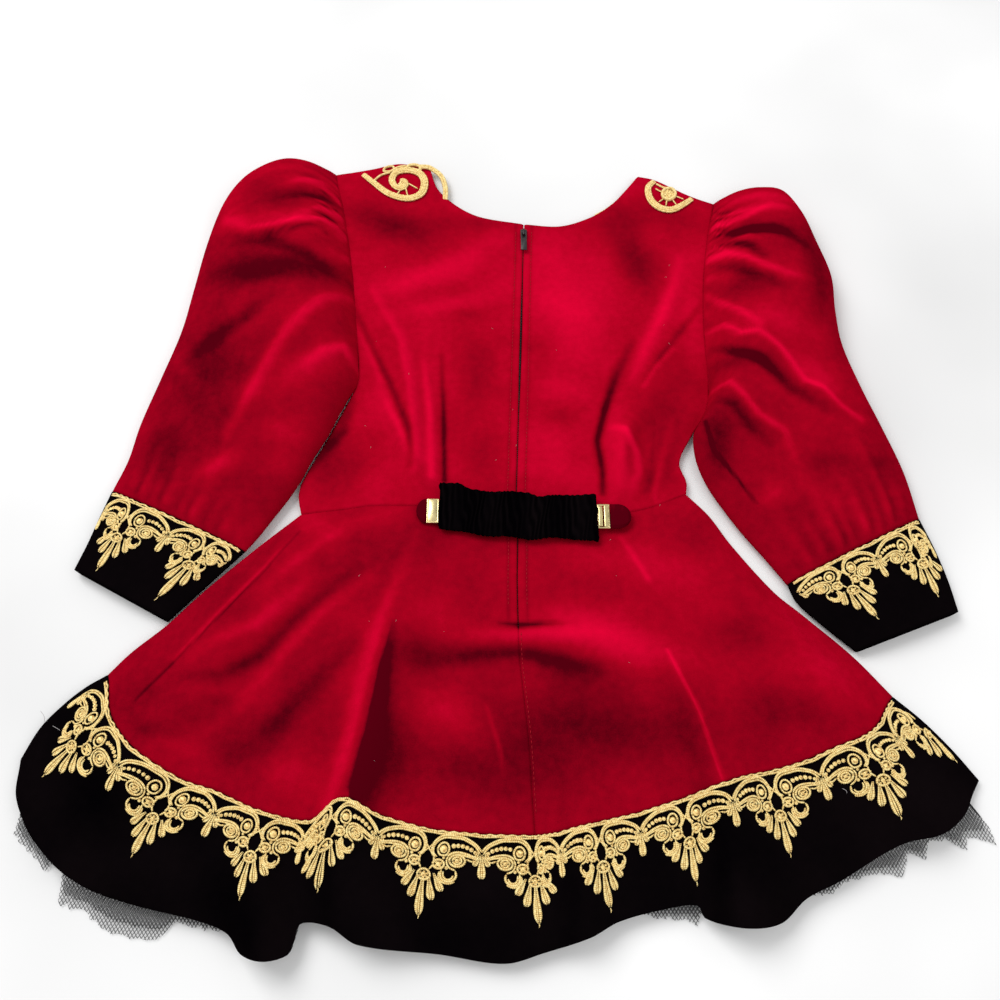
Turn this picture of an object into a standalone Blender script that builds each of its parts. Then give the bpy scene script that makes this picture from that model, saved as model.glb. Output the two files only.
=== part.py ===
# A girl's velvet party dress with gold lace, laid flat with its back up.
#
# Lengths in the tables are millimetres, in plan: x to the right and y toward the
# neck, both counted from the mark below the hem that PLAN_CENTRE moves to the
# middle of the dress. Heights are counted from the surface that it lies on.
# Objects are in metres.

import math

import bmesh
import bpy
from mathutils import Vector
from mathutils.bvhtree import BVHTree

MM = 0.001
PLAN_CENTRE = (2.5, 314.56)

# Cloth, lace and the gaps between pieces
WALL = 2.0              # velvet with its lining
NET_WALL = 1.0          # gathered net
LACE_WALL = 1.2
TAPE_WALL = 0.8
SEAM_GAP = 0.3
LAYER_GAP = 0.4
LACE_GAP = 0.5
DRAPE_LEAST_GAP = 0.3
DRAPE_STEP = 2.0        # the draped pieces are tried against the cloth at this spacing
DRAPE_PASSES = 3
EDGE_HEIGHT = 2 * WALL + LAYER_GAP     # outer face of a back panel where it meets the front panel
BODICE_RISE = 1.0                      # the back bodice lies this much higher, over its zip tape
SKIRT_RISE = 6.2                       # the back skirt lies this much higher, over the petticoat
SKIRT_RISE_LENGTH = 55.0
ZIP_SLIT = 1.6

# Outlines in plan, each a row of (x, y)
WAIST = [(-144, 295), (-117, 298), (-90, 302), (-54, 300), (-22, 298), (11.5, 296),
         (43, 292), (79, 294), (108, 300), (136, 311)]
CENTRE_BACK = [(11.5, 296), (13, 345), (16, 433), (20, 561)]
LEFT_NECK = [(20, 561), (-17, 569), (-38, 582), (-53, 599), (-60, 621)]
LEFT_SHOULDER = [(-60, 621), (-86, 627), (-110, 621), (-140, 614)]
LEFT_SIDE = [(-144, 295), (-147, 310), (-145, 322), (-128, 360), (-110, 405), (-109, 417),
             (-112, 442), (-120, 490), (-130, 550), (-140, 614)]
RIGHT_NECK = [(20, 561), (50, 559), (75, 568), (94, 582), (108, 599), (118, 613)]
RIGHT_SHOULDER = [(118, 613), (132, 609), (160, 592), (180, 582)]
RIGHT_SIDE = [(136, 311), (137, 321), (133, 337), (144, 360), (157, 381), (161, 404),
              (161, 442), (163, 480), (170, 530), (180, 582)]
LEFT_EDGE = [(-144, 295), (-173, 269), (-208, 235), (-229, 212), (-251, 192), (-264, 177)]
RIGHT_EDGE = [(136, 311), (151, 294), (165, 271), (191, 236), (208, 220), (239, 190), (262, 162)]
SEAM = [(-264, 177), (-255, 148), (-236, 127), (-205, 108), (-178, 99), (-150, 87), (-119, 82),
        (-98, 94), (-76, 85), (-44, 77), (-13, 74), (22, 73), (38, 75), (63, 81), (88, 87),
        (121, 97), (154, 108), (187, 116), (214, 126), (240, 137), (262, 162)]
LEFT_BAND_EDGE = [(-264, 177), (-278, 168), (-291, 156), (-303, 141), (-312, 120)]
RIGHT_BAND_EDGE = [(262, 162), (279, 146), (295, 127), (309, 107)]
HEM = [(-312, 120), (-310, 100), (-303, 86), (-291, 70), (-257, 44), (-225, 33), (-181, 23),
       (-163, 16), (-153, 5), (-138, 1), (-126, 5), (-123, 13), (-120, 22), (-102, 20),
       (-84, 10), (-36, 5), (3, 0), (27, 6), (54, 14), (72, 23), (100, 30), (120, 32),
       (124, 25), (144, 19), (169, 22), (187, 36), (209, 46), (249, 67), (275, 73),
       (293, 85), (304, 100), (309, 107)]
FRONT_NECK_DROP = 38.0

# The skirt's columns: which x at the waist, the seam and the hem lie on one line
COLUMN_GUIDES = [
    # share, waist x, seam x, hem x
    (0.00, -144.0, -264.0, -312.0),
    (0.30, -54.0, -98.0, -100.0),
    (0.50, 11.5, 22.0, 22.0),
    (0.70, 79.0, 121.0, 121.0),
    (1.00, 136.0, 262.0, 309.0),
]

# The largest folds of the back, each a ridge through rows of
# (x, y, width to its left, width to its right, height)
FOLDS = {
    "left pleat": [(-58, 292, 12, 14, 1.5), (-60, 262, 14, 16, 6.0), (-69, 227, 16, 22, 9.0),
                   (-76, 158, 18, 26, 12.0), (-98, 91, 13, 30, 14.0), (-97, 52, 14, 30, 12.0),
                   (-92, 4, 16, 30, 10.0)],
    "left lobe": [(-112, 220, 16, 16, 1.0), (-130, 150, 18, 18, 5.0), (-149, 87, 20, 15, 9.0),
                  (-145, 47, 20, 13, 12.0), (-139, 0, 18, 10, 14.0)],
    "right lobe": [(86, 262, 12, 14, 2.0), (106, 205, 14, 20, 6.0), (125, 158, 14, 24, 9.0),
                   (137, 100, 11, 26, 11.0), (143, 58, 12, 26, 13.0), (141, 12, 11, 26, 14.0)],
    "centre fold": [(38, 150, 14, 14, 0.5), (46, 110, 12, 16, 4.0), (50, 60, 11, 18, 7.0),
                    (50, 8, 12, 18, 7.0)],
    "right outer": [(142, 275, 12, 14, 1.0), (185, 205, 18, 20, 6.0), (226, 140, 20, 20, 9.0),
                    (262, 78, 20, 22, 8.0)],
    "left outer": [(-138, 270, 12, 14, 1.0), (-180, 200, 18, 18, 6.0), (-224, 130, 20, 20, 8.0),
                   (-266, 60, 20, 20, 8.0)],
    "bodice left gather": [(-60, 300, 9, 12, 1.5), (-60, 320, 9, 12, 5.0), (-63, 345, 10, 13, 7.0),
                           (-68, 375, 12, 15, 6.0), (-84, 424, 14, 16, 4.0), (-104, 478, 16, 16, 1.5)],
    "bodice right gather": [(93, 308, 9, 10, 1.0), (91, 328, 10, 10, 6.0), (92, 350, 10, 10, 8.0),
                            (98, 368, 11, 11, 7.0), (114, 397, 13, 12, 5.0), (138, 441, 14, 14, 3.0),
                            (156, 476, 14, 14, 1.0)],
    "left armhole": [(-106, 424, 9, 9, 1.2), (-118, 500, 9, 9, 1.2), (-137, 606, 9, 9, 1.2)],
    "right armhole": [(158, 412, 9, 9, 1.2), (161, 490, 9, 9, 1.2), (176, 576, 9, 9, 1.2)],
}

# The sleeves and cuffs, from the armhole to the hand, each row of
# (outer x, outer y, inner x, inner y, crown height, edge height, bow of the row to the right)
LEFT_SLEEVE = [
    (-140.8, 614, -110.9, 411, 7.4, 3.5, 0), (-151, 621, -112.4, 408, 15, 3.8, 0),
    (-166, 628, -113.6, 404, 23, 4.4, 0), (-185, 629, -115.4, 398, 29, 5.0, 0),
    (-204, 619, -118, 391, 33, 5.6, 0), (-220, 602, -120, 383, 35, 6.0, 0),
    (-232, 575, -124, 373, 35, 6.2, 0), (-240, 535, -129.6, 359, 33, 6.2, 0),
    (-245, 492, -138, 340, 30, 6.0, 0), (-250, 450, -146, 321, 27, 6.0, 0),
    (-260, 408, -154, 306, 24, 6.0, 0), (-270, 368, -163, 292, 21, 5.6, 0),
    (-275, 338, -172, 278, 17, 5.2, 0), (-283, 313, -181, 266, 13, 5.0, 0),
]
LEFT_CUFF = [
    (-283.4, 312.6, -181.4, 265.6, 13, 5.0, 0), (-289, 292, -193, 253, 12.5, 5.0, 0),
    (-294, 272, -206.4, 238.6, 12, 5.0, 0), (-300, 252, -228.8, 214, 11.5, 5.0, 0),
]
RIGHT_SLEEVE = [
    (180.8, 582, 162.2, 404, 7.4, 3.5, -4.5), (190, 589, 163.2, 400.5, 15, 3.8, 0),
    (203, 595, 163.8, 396.5, 23, 4.4, 4), (220, 597, 163.2, 391, 29, 5.0, 8),
    (238, 592, 161.2, 384.5, 33, 5.6, 11), (251, 568, 157.9, 377, 35, 6.0, 11),
    (259, 538, 152.6, 368, 35, 6.2, 8), (267, 503, 147.4, 358, 33, 6.2, 4),
    (266, 470, 145, 338, 30, 6.0, 0), (267, 438, 151, 318, 27, 6.0, 0),
    (276, 400, 161, 299, 24, 6.0, 0), (287, 364, 173, 280, 21, 5.6, 0),
    (297, 328, 187, 261, 17, 5.2, 0), (302, 291, 201, 241, 13, 5.0, 0),
]
RIGHT_CUFF = [
    (302.3, 290.6, 201.3, 240.6, 13, 5.0, 0), (309, 268, 206.4, 227.4, 12.5, 5.0, 0),
    (314, 245, 222, 211, 12, 5.0, 0), (317, 221, 242, 192.6, 11.5, 5.0, 0),
]
CAP_GATHER_HEIGHT = 3.0     # of the ridges at the head of each sleeve
CAP_GATHER_ROWS = 5         # rows that the gathers take to run out

# One repeat of the lace, half of it, from the axis of its fan to the trefoil:
# (distance from the axis, depth below the top edge)
HALF_REPEAT = 36.0
LACE_DEPTH = 57.0
LACE_TOP = [(0, 1.0), (12, -0.5), (24, -0.5), (36, 1.2)]
LACE_FOOT = [(0, 57), (2.6, 53), (3.4, 46), (7.4, 49.5), (9.2, 41), (14.6, 42), (13.8, 35), (19.6, 36.6),
             (23.4, 32), (22, 26.5), (27, 24.5), (29.6, 22), (31.8, 25.5), (33.8, 24), (36, 34)]
LACE_AXIS_GAPS = [
    [(-3.6, 4), (3.6, 4), (0, 9.6)],
    [(0, 13), (2.7, 16), (2.7, 20.5), (0, 24.5), (-2.7, 20.5), (-2.7, 16)],
]
LACE_SIDE_GAPS = [
    [(10, 18.5), (14, 14.2), (20, 14.4), (23, 19.0), (16.5, 18.2)],
    [(16.2, 28.6), (20.6, 29), (20.4, 33), (16, 33)],
]

# Where each half repeat of the hem lace ends: (x at the seam, x at the tips)
HEM_LACE_MARKS = [
    (-264, -312), (-256, -297), (-239, -257), (-205, -232), (-175, -195), (-146, -158), (-120, -129),
    (-101, -112), (-74, -80), (-42, -50), (-11, -11), (21, 23), (37, 41), (60, 66), (88, 91),
    (116, 121), (145, 150), (172, 182), (203, 216), (231, 252), (249, 282), (262, 309),
]
# The same across the back of each cuff, as shares from its outer to its inner edge
LEFT_CUFF_MARKS = [0.035, 0.24, 0.49, 0.73, 0.965]
RIGHT_CUFF_MARKS = [0.035, 0.16, 0.42, 0.67, 0.92]

LEAST_TURN = math.radians(17)    # lace is split where the cloth under it turns by more

# Shoulder appliques: outline and gaps in plan
LEFT_APPLIQUE = [(-117, 606), (-113, 613), (-105, 617.5), (-96, 620), (-90, 624.5), (-84, 625.5), (-79, 622),
                 (-74, 617.5), (-66, 619), (-58, 615), (-50, 606), (-46, 595), (-49, 585), (-54, 584.5),
                 (-52.5, 596), (-57, 606), (-64, 612.5), (-70, 610), (-66, 602), (-68, 593), (-76, 585),
                 (-84, 579), (-94, 577), (-105, 583), (-113, 592), (-118, 599)]
LEFT_APPLIQUE_GAPS = [
    [(-111, 603), (-107, 610), (-101, 613), (-104, 604)],
    [(-84, 612), (-76, 609), (-73, 602), (-78, 597), (-84, 603)],
    [(-106, 593), (-99, 587), (-92, 585), (-91, 590), (-99, 594), (-104, 598)],
]
RIGHT_APPLIQUE = [(124, 603), (129, 604), (133, 600), (140, 598), (148, 594), (155, 588), (162, 586.5),
                  (163, 581), (158, 574), (149, 569.5), (139, 570), (130, 576), (124.5, 585), (122.5, 595)]
RIGHT_APPLIQUE_GAPS = [
    [(128.5, 592), (133, 594), (134.5, 587), (131, 583)],
    [(136, 579), (139, 585), (144, 583), (143, 576)],
    [(148, 576), (149.5, 582), (155, 581.5), (154.5, 578)],
]

# The belt at the back waist, its clips and tabs
BELT_ENDS = (-43.5, 69.5)      # x of its two ends
BELT_TOP_Y = 318.0
BELT_DEPTH = 46.0
BELT_SLOPE = -0.035         # the belt drops a little to the right
BELT_THICKNESS = 3.0
BELT_RUCHES = 18
BELT_RUCHE_HEIGHT = 1.4
BELT_EDGE_SHARE = 0.55      # of the belt's thickness, left at its two long edges
CLIP_SIZE = (9.0, 19.0)
CLIP_SLOT = (3.4, 12.4)
CLIP_THICKNESS = 1.6
TAB_LENGTHS = {"left": 7.0, "right": 15.0}
TAB_DEPTH = 19.0
TAB_THICKNESS = 2.0

# The zip
ZIP_END_Y = 208.0
ZIP_TAPE_WIDTH = 22.0
ZIP_TAPE_ROWS = 18
SLIDER_Y = 549.0
SLIDER_SIZE = (5.4, 9.0, 1.8)
SLIDER_NECK_WIDTH = 0.9
BRIDGE_SIZE = (1.5, 6.0, 3.1)
BRIDGE_BAR = 0.8
NECK_LENGTH_SHARE = 0.6      # of the slider's length
NECK_OVERLAP = 0.2           # how far the neck and the bridge go into the slider's body
BRIDGE_OVERLAP = 0.3
PULL_AXIS_RISE = 1.0         # height of the pull's axis above the slider's face
PULL_BAR = 1.1               # width of the bar at the pull's head
PULL_SIZE = (5.0, 18.0, 1.1)
PULL_EYE = (2.5, 4.6)
PULL_END_WIDTH = 3.4
PULL_CORNER = 1.0

# Colours
VELVET_RED = (0.42, 0.002, 0.021)
VELVET_BLACK = (0.006, 0.004, 0.006)
GOLD_THREAD = (0.72, 0.47, 0.17)
GOLD_METAL = (0.83, 0.66, 0.30)
NET_BLACK = (0.02, 0.02, 0.02)
PLASTIC_BLACK = (0.025, 0.012, 0.014)


class Line:
    """A smooth line through rows of numbers, read by its share of the plan length."""

    def __init__(self, rows):
        self.rows = [Vector(row) for row in rows]
        self.marks = [0.0]
        for start, end in zip(self.rows, self.rows[1:]):
            self.marks.append(self.marks[-1] + (end - start).length)

    def at(self, share):
        distance = min(max(share, 0.0), 1.0) * self.marks[-1]
        span = 0
        while span < len(self.marks) - 2 and self.marks[span + 1] < distance:
            span += 1
        start, end = self.rows[span], self.rows[span + 1]
        length = self.marks[span + 1] - self.marks[span]
        part = (distance - self.marks[span]) / length
        leave = self.tangent(span) * length
        arrive = self.tangent(span + 1) * length
        square, cube = part * part, part ** 3
        return (start * (2 * cube - 3 * square + 1) + leave * (cube - 2 * square + part)
                + end * (3 * square - 2 * cube) + arrive * (cube - square))

    def tangent(self, index):
        before, after = max(index - 1, 0), min(index + 1, len(self.rows) - 1)
        return (self.rows[after] - self.rows[before]) / (self.marks[after] - self.marks[before])

    def share_at_x(self, x):
        low, high = 0.0, 1.0
        for _ in range(40):
            middle = (low + high) / 2
            if self.at(middle).x < x:
                low = middle
            else:
                high = middle
        return (low + high) / 2


def ease(value):
    value = min(max(value, 0.0), 1.0)
    return value * value * (3 - 2 * value)


def between(start, end, share):
    return start + (end - start) * share


def read_table(table, key, column):
    """A column of a table of rows, read between the rows by their first value."""
    for before, after in zip(table, table[1:]):
        if key <= after[0]:
            break
    return between(before[column], after[column], (key - before[0]) / (after[0] - before[0]))


def coons(bottom, top, first, last, across, along):
    """A point of the patch between four lines that meet at their ends."""
    sides = first(along) * (1 - across) + last(along) * across
    ends = bottom(across) * (1 - along) + top(across) * along
    corners = ((bottom(0.0) * (1 - across) + bottom(1.0) * across) * (1 - along)
               + (top(0.0) * (1 - across) + top(1.0) * across) * along)
    return sides + ends - corners


LINES = {name: Line(rows) for name, rows in {
    "waist": WAIST, "centre back": CENTRE_BACK, "seam": SEAM, "hem": HEM,
    "left neck": LEFT_NECK, "left shoulder": LEFT_SHOULDER, "left side": LEFT_SIDE,
    "right neck": RIGHT_NECK, "right shoulder": RIGHT_SHOULDER, "right side": RIGHT_SIDE,
    "left edge": LEFT_EDGE, "right edge": RIGHT_EDGE,
    "left band edge": LEFT_BAND_EDGE, "right band edge": RIGHT_BAND_EDGE,
}.items()}
GUIDES = [(share, LINES["waist"].share_at_x(waist_x), LINES["seam"].share_at_x(seam_x),
           LINES["hem"].share_at_x(hem_x)) for share, waist_x, seam_x, hem_x in COLUMN_GUIDES]
GUIDES[0] = (0.0, 0.0, 0.0, 0.0)
GUIDES[-1] = (1.0, 1.0, 1.0, 1.0)


def fold_height(rows, x, y):
    """Height of one ridge at a point, from the nearest place along it."""
    best = None
    for start, end in zip(rows, rows[1:]):
        step_x, step_y = end[0] - start[0], end[1] - start[1]
        share = ((x - start[0]) * step_x + (y - start[1]) * step_y) / (step_x ** 2 + step_y ** 2)
        share = min(max(share, 0.0), 1.0)
        away_x, away_y = x - start[0] - share * step_x, y - start[1] - share * step_y
        distance = math.hypot(away_x, away_y)
        if best is None or distance < best[0]:
            # The rows run down the dress, so a point on the wearer's right lies at its right
            side = 2 if step_x * away_y - step_y * away_x < 0 else 3
            width = between(start[side], end[side], share)
            best = (distance, width, between(start[4], end[4], share))
    distance, width, height = best
    return height * math.exp(-(distance / width) ** 2)


def relief(x, y):
    return sum(fold_height(rows, x, y) for rows in FOLDS.values())


def skirt_plan(across, down):
    """Plan point of the skirt: down runs 0 to 1 to the seam and 1 to 2 over the hem band."""
    waist = lambda share: LINES["waist"].at(read_table(GUIDES, share, 1))
    seam = lambda share: LINES["seam"].at(read_table(GUIDES, share, 2))
    hem = lambda share: LINES["hem"].at(read_table(GUIDES, share, 3))
    if down <= 1.0:
        return coons(waist, seam, LINES["left edge"].at, LINES["right edge"].at, across, down)
    return coons(seam, hem, LINES["left band edge"].at, LINES["right band edge"].at, across, down - 1.0)


def skirt_outer(across, down):
    """Outer face of the back skirt and its hem band, above the plan point."""
    plan = skirt_plan(across, down)
    rolled = ease(min(across, 1.0 - across) / 0.05)
    below_waist = (skirt_plan(across, 0.0) - plan).length
    rise = between(BODICE_RISE, SKIRT_RISE, ease(below_waist / SKIRT_RISE_LENGTH))
    return Vector((plan.x, plan.y, EDGE_HEIGHT + rolled * (rise + relief(plan.x, plan.y))))


def bodice_plan(side, across, up):
    """Plan point of half the bodice: across from the centre back, up from the waist."""
    waist, centre_x = LINES["waist"], LINES["waist"].share_at_x(CENTRE_BACK[0][0])
    neck, shoulder = LINES[side + " neck"], LINES[side + " shoulder"]
    neck_share = neck.marks[-1] / (neck.marks[-1] + shoulder.marks[-1])
    side_share = 0.0 if side == "left" else 1.0

    def bottom(share):
        return waist.at(between(centre_x, side_share, share))

    def top(share):
        if share <= neck_share:
            return neck.at(share / neck_share)
        return shoulder.at((share - neck_share) / (1 - neck_share))

    return coons(bottom, top, LINES["centre back"].at, LINES[side + " side"].at, across, up)


UNDERARM_SHARE = 0.34       # of the bodice's height at its side


def bodice_outer(side, across, up):
    plan = bodice_plan(side, across, up)
    at_side = ease((1.0 - across) / 0.1)
    rolled = between(at_side, 1.0, ease((up - UNDERARM_SHARE) / 0.06))
    return Vector((plan.x, plan.y, EDGE_HEIGHT + rolled * (BODICE_RISE + relief(plan.x, plan.y))))


def place(point):
    """From plan millimetres to the frame of the dress in metres."""
    point = point.to_3d()
    return Vector(((point.x - PLAN_CENTRE[0]) * MM, (point.y - PLAN_CENTRE[1]) * MM, point.z * MM))


def material(name, colour, roughness, metallic=0.0):
    made = bpy.data.materials.new(name)
    made.use_nodes = True
    shader = made.node_tree.nodes["Principled BSDF"]
    shader.inputs["Base Color"].default_value = (*colour, 1.0)
    shader.inputs["Roughness"].default_value = roughness
    shader.inputs["Metallic"].default_value = metallic
    return made


FINISHES = {
    "red": (VELVET_RED, 0.9, 0.0),
    "black": (VELVET_BLACK, 0.95, 0.0),
    "gold thread": (GOLD_THREAD, 0.6, 0.2),
    "gold metal": (GOLD_METAL, 0.3, 1.0),
    "net": (NET_BLACK, 0.8, 0.0),
    "plastic": (PLASTIC_BLACK, 0.4, 0.0),
}


def add_object(name, mesh, finish):
    made = bpy.data.objects.new(name, mesh)
    made.data.materials.append(material(name, *FINISHES[finish]))
    bpy.data.collections["lace_dress"].objects.link(made)
    mesh.shade_smooth()
    return made


def surface(name, rows, finish, thickness, closed=False):
    """A wall whose outer face passes through rows of points, all rows equally long."""
    count = len(rows[0])
    spans = count if closed else count - 1
    faces = [(row * count + column, row * count + (column + 1) % count,
              (row + 1) * count + (column + 1) % count, (row + 1) * count + column)
             for row in range(len(rows) - 1) for column in range(spans)]
    mesh = bpy.data.meshes.new(name)
    mesh.from_pydata([place(point) for row in rows for point in row], [], faces)
    made = add_object(name, mesh, finish)
    wall = made.modifiers.new("wall", "SOLIDIFY")
    wall.thickness = thickness * MM
    wall.offset = -1.0
    return made


def plate(name, outline, gaps, finish, thickness, cuts=()):
    """A flat plate in plan with gaps cut through it, split along the cuts so that it can bend."""
    curve = bpy.data.curves.new(name, "CURVE")
    curve.dimensions = "2D"
    curve.fill_mode = "BOTH"
    curve.extrude = thickness * MM / 2
    for loop in [outline, *gaps]:
        spline = curve.splines.new("POLY")
        spline.points.add(len(loop) - 1)
        for point, target in zip(loop, spline.points):
            target.co = (*place(Vector((point[0], point[1], 0.0))), 1.0)
        spline.use_cyclic_u = True
    flat = bpy.data.objects.new(name, curve)
    bpy.data.collections["lace_dress"].objects.link(flat)
    bpy.context.view_layer.update()
    mesh = bpy.data.meshes.new_from_object(flat.evaluated_get(bpy.context.evaluated_depsgraph_get()))
    bpy.data.objects.remove(flat)
    shape = bmesh.new()
    shape.from_mesh(mesh)
    bmesh.ops.remove_doubles(shape, verts=shape.verts, dist=0.00001)
    for start, end in cuts:
        way = (end - start).normalized()
        bmesh.ops.bisect_plane(shape, geom=[*shape.verts, *shape.edges, *shape.faces], dist=0.00001,
                               plane_co=place(start), plane_no=Vector((-way.y, way.x, 0.0)))
    bmesh.ops.triangulate(shape, faces=shape.faces)
    bmesh.ops.recalc_face_normals(shape, faces=shape.faces)
    shape.to_mesh(mesh)
    shape.free()
    return add_object(name, mesh, finish)


def drape(made, supports, gap, thickness):
    """Lay a flat plate on the outer faces of the supports, its underside a gap above them."""
    bpy.context.view_layer.update()
    graph = bpy.context.evaluated_depsgraph_get()
    trees = [BVHTree.FromObject(support, graph) for support in supports]

    def cloth(x, y):
        hits = [tree.ray_cast(Vector((x, y, 1.0)), Vector((0, 0, -1)))[0] for tree in trees]
        heights = [hit.z for hit in hits if hit]
        if heights:
            return max(heights)
        level = Vector((x, y, 0.0))
        nearest = min((tree.find_nearest(level) for tree in trees), key=lambda near: near[3])[0]
        return nearest.z + WALL * MM

    # The level of the underside at every plan point, shared by the vertices above each other
    keys = [(round(vertex.co.x, 6), round(vertex.co.y, 6)) for vertex in made.data.vertices]
    levels = {key: cloth(*key) + gap * MM for key in keys}
    lower = [[keys[index] for index in face.vertices] for face in made.data.polygons
             if all(made.data.vertices[index].co.z < 0 for index in face.vertices)]
    for _ in range(DRAPE_PASSES):
        for corners in lower:
            places = [Vector((*key, levels[key])) for key in corners]
            longest = max((places[index] - places[index - 1]).length for index in range(3))
            steps = max(1, math.ceil(longest / (DRAPE_STEP * MM)))
            short = 0.0
            for first in range(steps + 1):
                for second in range(steps + 1 - first):
                    third = steps - first - second
                    at = (places[0] * first + places[1] * second + places[2] * third) / steps
                    short = max(short, cloth(at.x, at.y) + DRAPE_LEAST_GAP * MM - at.z)
            for key in corners:
                levels[key] += short
    for vertex, key in zip(made.data.vertices, keys):
        vertex.co.z = levels[key] + (thickness * MM if vertex.co.z > 0 else 0.0)


def spread(count, dense=()):
    """Shares from 0 to 1, with more of them at the dense places."""
    shares = {round(index / count, 5) for index in range(count + 1)}
    return sorted(shares | set(dense))


# Columns of the skirt and its band, closer where the hem turns sharply
SKIRT_COLUMNS_LEFT = [0.0, 0.012, 0.03, 0.055, 0.085, 0.115, 0.145, 0.175, 0.2, 0.222, 0.24, 0.256, 0.268,
                      0.276, 0.286, 0.3, 0.316, 0.335, 0.36, 0.39, 0.42, 0.46, 0.5]
SKIRT_COLUMNS_RIGHT = [0.5, 0.53, 0.555, 0.58, 0.605, 0.63, 0.655, 0.675, 0.69, 0.7, 0.71, 0.725, 0.745,
                       0.77, 0.8, 0.83, 0.86, 0.89, 0.92, 0.945, 0.97, 0.988, 1.0]
SKIRT_ROWS = [0.0, 0.1, 0.22, 0.36, 0.52, 0.68, 0.84, 1.0]
BAND_ROWS = [1.0, 1.22, 1.48, 1.74, 2.0]
BAND_DEPTH = 75.0
SKIRT_LENGTH = 200.0
BAND_TOP_GAP = SEAM_GAP / BAND_DEPTH
SKIRT_FOOT_GAP = SEAM_GAP / SKIRT_LENGTH


def sharp_columns(least_turn):
    """The inner columns of the hem band at which its face turns by more than this angle."""
    sharp = []
    columns = SKIRT_COLUMNS_LEFT + SKIRT_COLUMNS_RIGHT[1:]
    for before, here, after in zip(columns, columns[1:], columns[2:]):
        for down in (1.2, 1.6):
            first = skirt_outer(here, down) - skirt_outer(before, down)
            second = skirt_outer(after, down) - skirt_outer(here, down)
            turn = (math.atan2(second.z, second.xy.length) - math.atan2(first.z, first.xy.length))
            if abs(turn) > least_turn and here not in sharp:
                sharp.append(here)
    return sharp


def back_skirt():
    for name, columns in (("skirt_back_left", SKIRT_COLUMNS_LEFT), ("skirt_back_right", SKIRT_COLUMNS_RIGHT)):
        rows = []
        for down in SKIRT_ROWS:
            row = [skirt_outer(across, min(down, 1.0 - SKIRT_FOOT_GAP)) for across in columns]
            seam_end = -1 if columns[-1] == 0.5 else 0
            slit = ZIP_SLIT if row[seam_end].y > ZIP_END_Y else SEAM_GAP
            row[seam_end].x += slit / 2 if seam_end == 0 else -slit / 2
            if down == 0.0:
                for point in row:
                    point.y -= SEAM_GAP
            rows.append(row)
        surface(name, rows[::-1], "red", WALL)


def back_band():
    columns = SKIRT_COLUMNS_LEFT + SKIRT_COLUMNS_RIGHT[1:]
    rows = [[skirt_outer(across, max(down, 1.0 + BAND_TOP_GAP)) for across in columns] for down in BAND_ROWS]
    return surface("hem_band_back", rows[::-1], "black", WALL)


def back_bodice():
    for side, turn in (("left", -1), ("right", 1)):
        rows = []
        for up in spread(14):
            row = [bodice_outer(side, across, up) for across in spread(11, (0.96,))]
            row[0].x += turn * ZIP_SLIT / 2
            rows.append(row if side == "right" else row[::-1])
        surface("bodice_back_" + side, rows, "red", WALL)


def flat_panel(name, rows, finish):
    """A front panel, flat on the surface below: its outer face is the one that rests."""
    surface(name, [[Vector((point.x, point.y, 0.0)) for point in row] for row in rows], finish, WALL)


FRONT_COLUMNS = [0.0, 0.06, 0.12, 0.18, 0.24, 0.268, 0.286, 0.36, 0.43, 0.5, 0.57, 0.63, 0.68, 0.7,
                 0.76, 0.86, 0.94, 1.0]
FRONT_BAND_FOOT = 1.85      # the front hem stops inside the back hem
FRONT_BODICE_INSET = 0.99


def front_bodice_point(column, up):
    """The plan point of the front bodice that lies above one of the skirt's columns."""
    centre = LINES["waist"].share_at_x(CENTRE_BACK[0][0])
    at_waist = read_table(GUIDES, column, 1)
    if at_waist < centre:
        side, across = "left", (centre - at_waist) / centre
    else:
        side, across = "right", (at_waist - centre) / (1 - centre)
    inset = between(1.0, FRONT_BODICE_INSET, min(1.0, up * 4))
    point = bodice_plan(side, across * inset, up)
    point.y -= FRONT_NECK_DROP * (1 - ease(across / 0.6)) * up ** 2
    return point


def fronts():
    bodice = [[front_bodice_point(column, up) for column in FRONT_COLUMNS] for up in spread(5, (0.32, 0.38))]
    flat_panel("bodice_front", bodice[::-1], "red")
    skirt = [[skirt_plan(column, down) for column in FRONT_COLUMNS]
             for down in (0.0, 0.35, 0.7, 1.0 - SKIRT_FOOT_GAP)]
    for point in skirt[0]:
        point.y -= SEAM_GAP
    flat_panel("skirt_front", skirt, "red")
    band = [[skirt_plan(column, down) for column in FRONT_COLUMNS]
            for down in (1.0 + BAND_TOP_GAP, 1.5, FRONT_BAND_FOOT)]
    flat_panel("hem_band_front", band, "black")


# How far the petticoat shows past the hem: (share across, reach in millimetres)
NET_REACH = [
    (0.0, -6), (0.085, -4), (0.095, 5), (0.125, 4), (0.138, 15), (0.165, 15), (0.2, 3), (0.21, -4),
    (0.60, -6), (0.65, 4), (0.70, 11), (0.708, -4), (0.80, -4), (0.83, 4), (0.87, 6), (0.89, 15),
    (0.915, 13), (0.927, 2), (0.945, 10), (0.965, 20), (1.0, 14),
]
PETTICOAT_ROWS = (0.2, 0.6, 1.0, 1.5)
PETTICOAT_COLUMNS = (0.06, 0.24, 0.268, 0.286, 0.31, 0.34, 0.37, 0.43, 0.5, 0.55, 0.67, 0.72, 0.76)
PETTICOAT_FULLNESS = 0.5        # how much of the skirt's folds the net fills
PETTICOAT_DROP = 1.5            # space left for the zip tape above the net
PETTICOAT_SIDES = (0.035, 0.965)
NEAR_HEM = 1.86                 # rows of its back layer by the hem, on the skirt's scale
AT_HEM = 1.93
LEAST_FOOT = 1.965              # and of its front layer, where that stays inside
FOOT_ROW = 0.05
NET_FLOOR_GAP = 0.3


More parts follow.
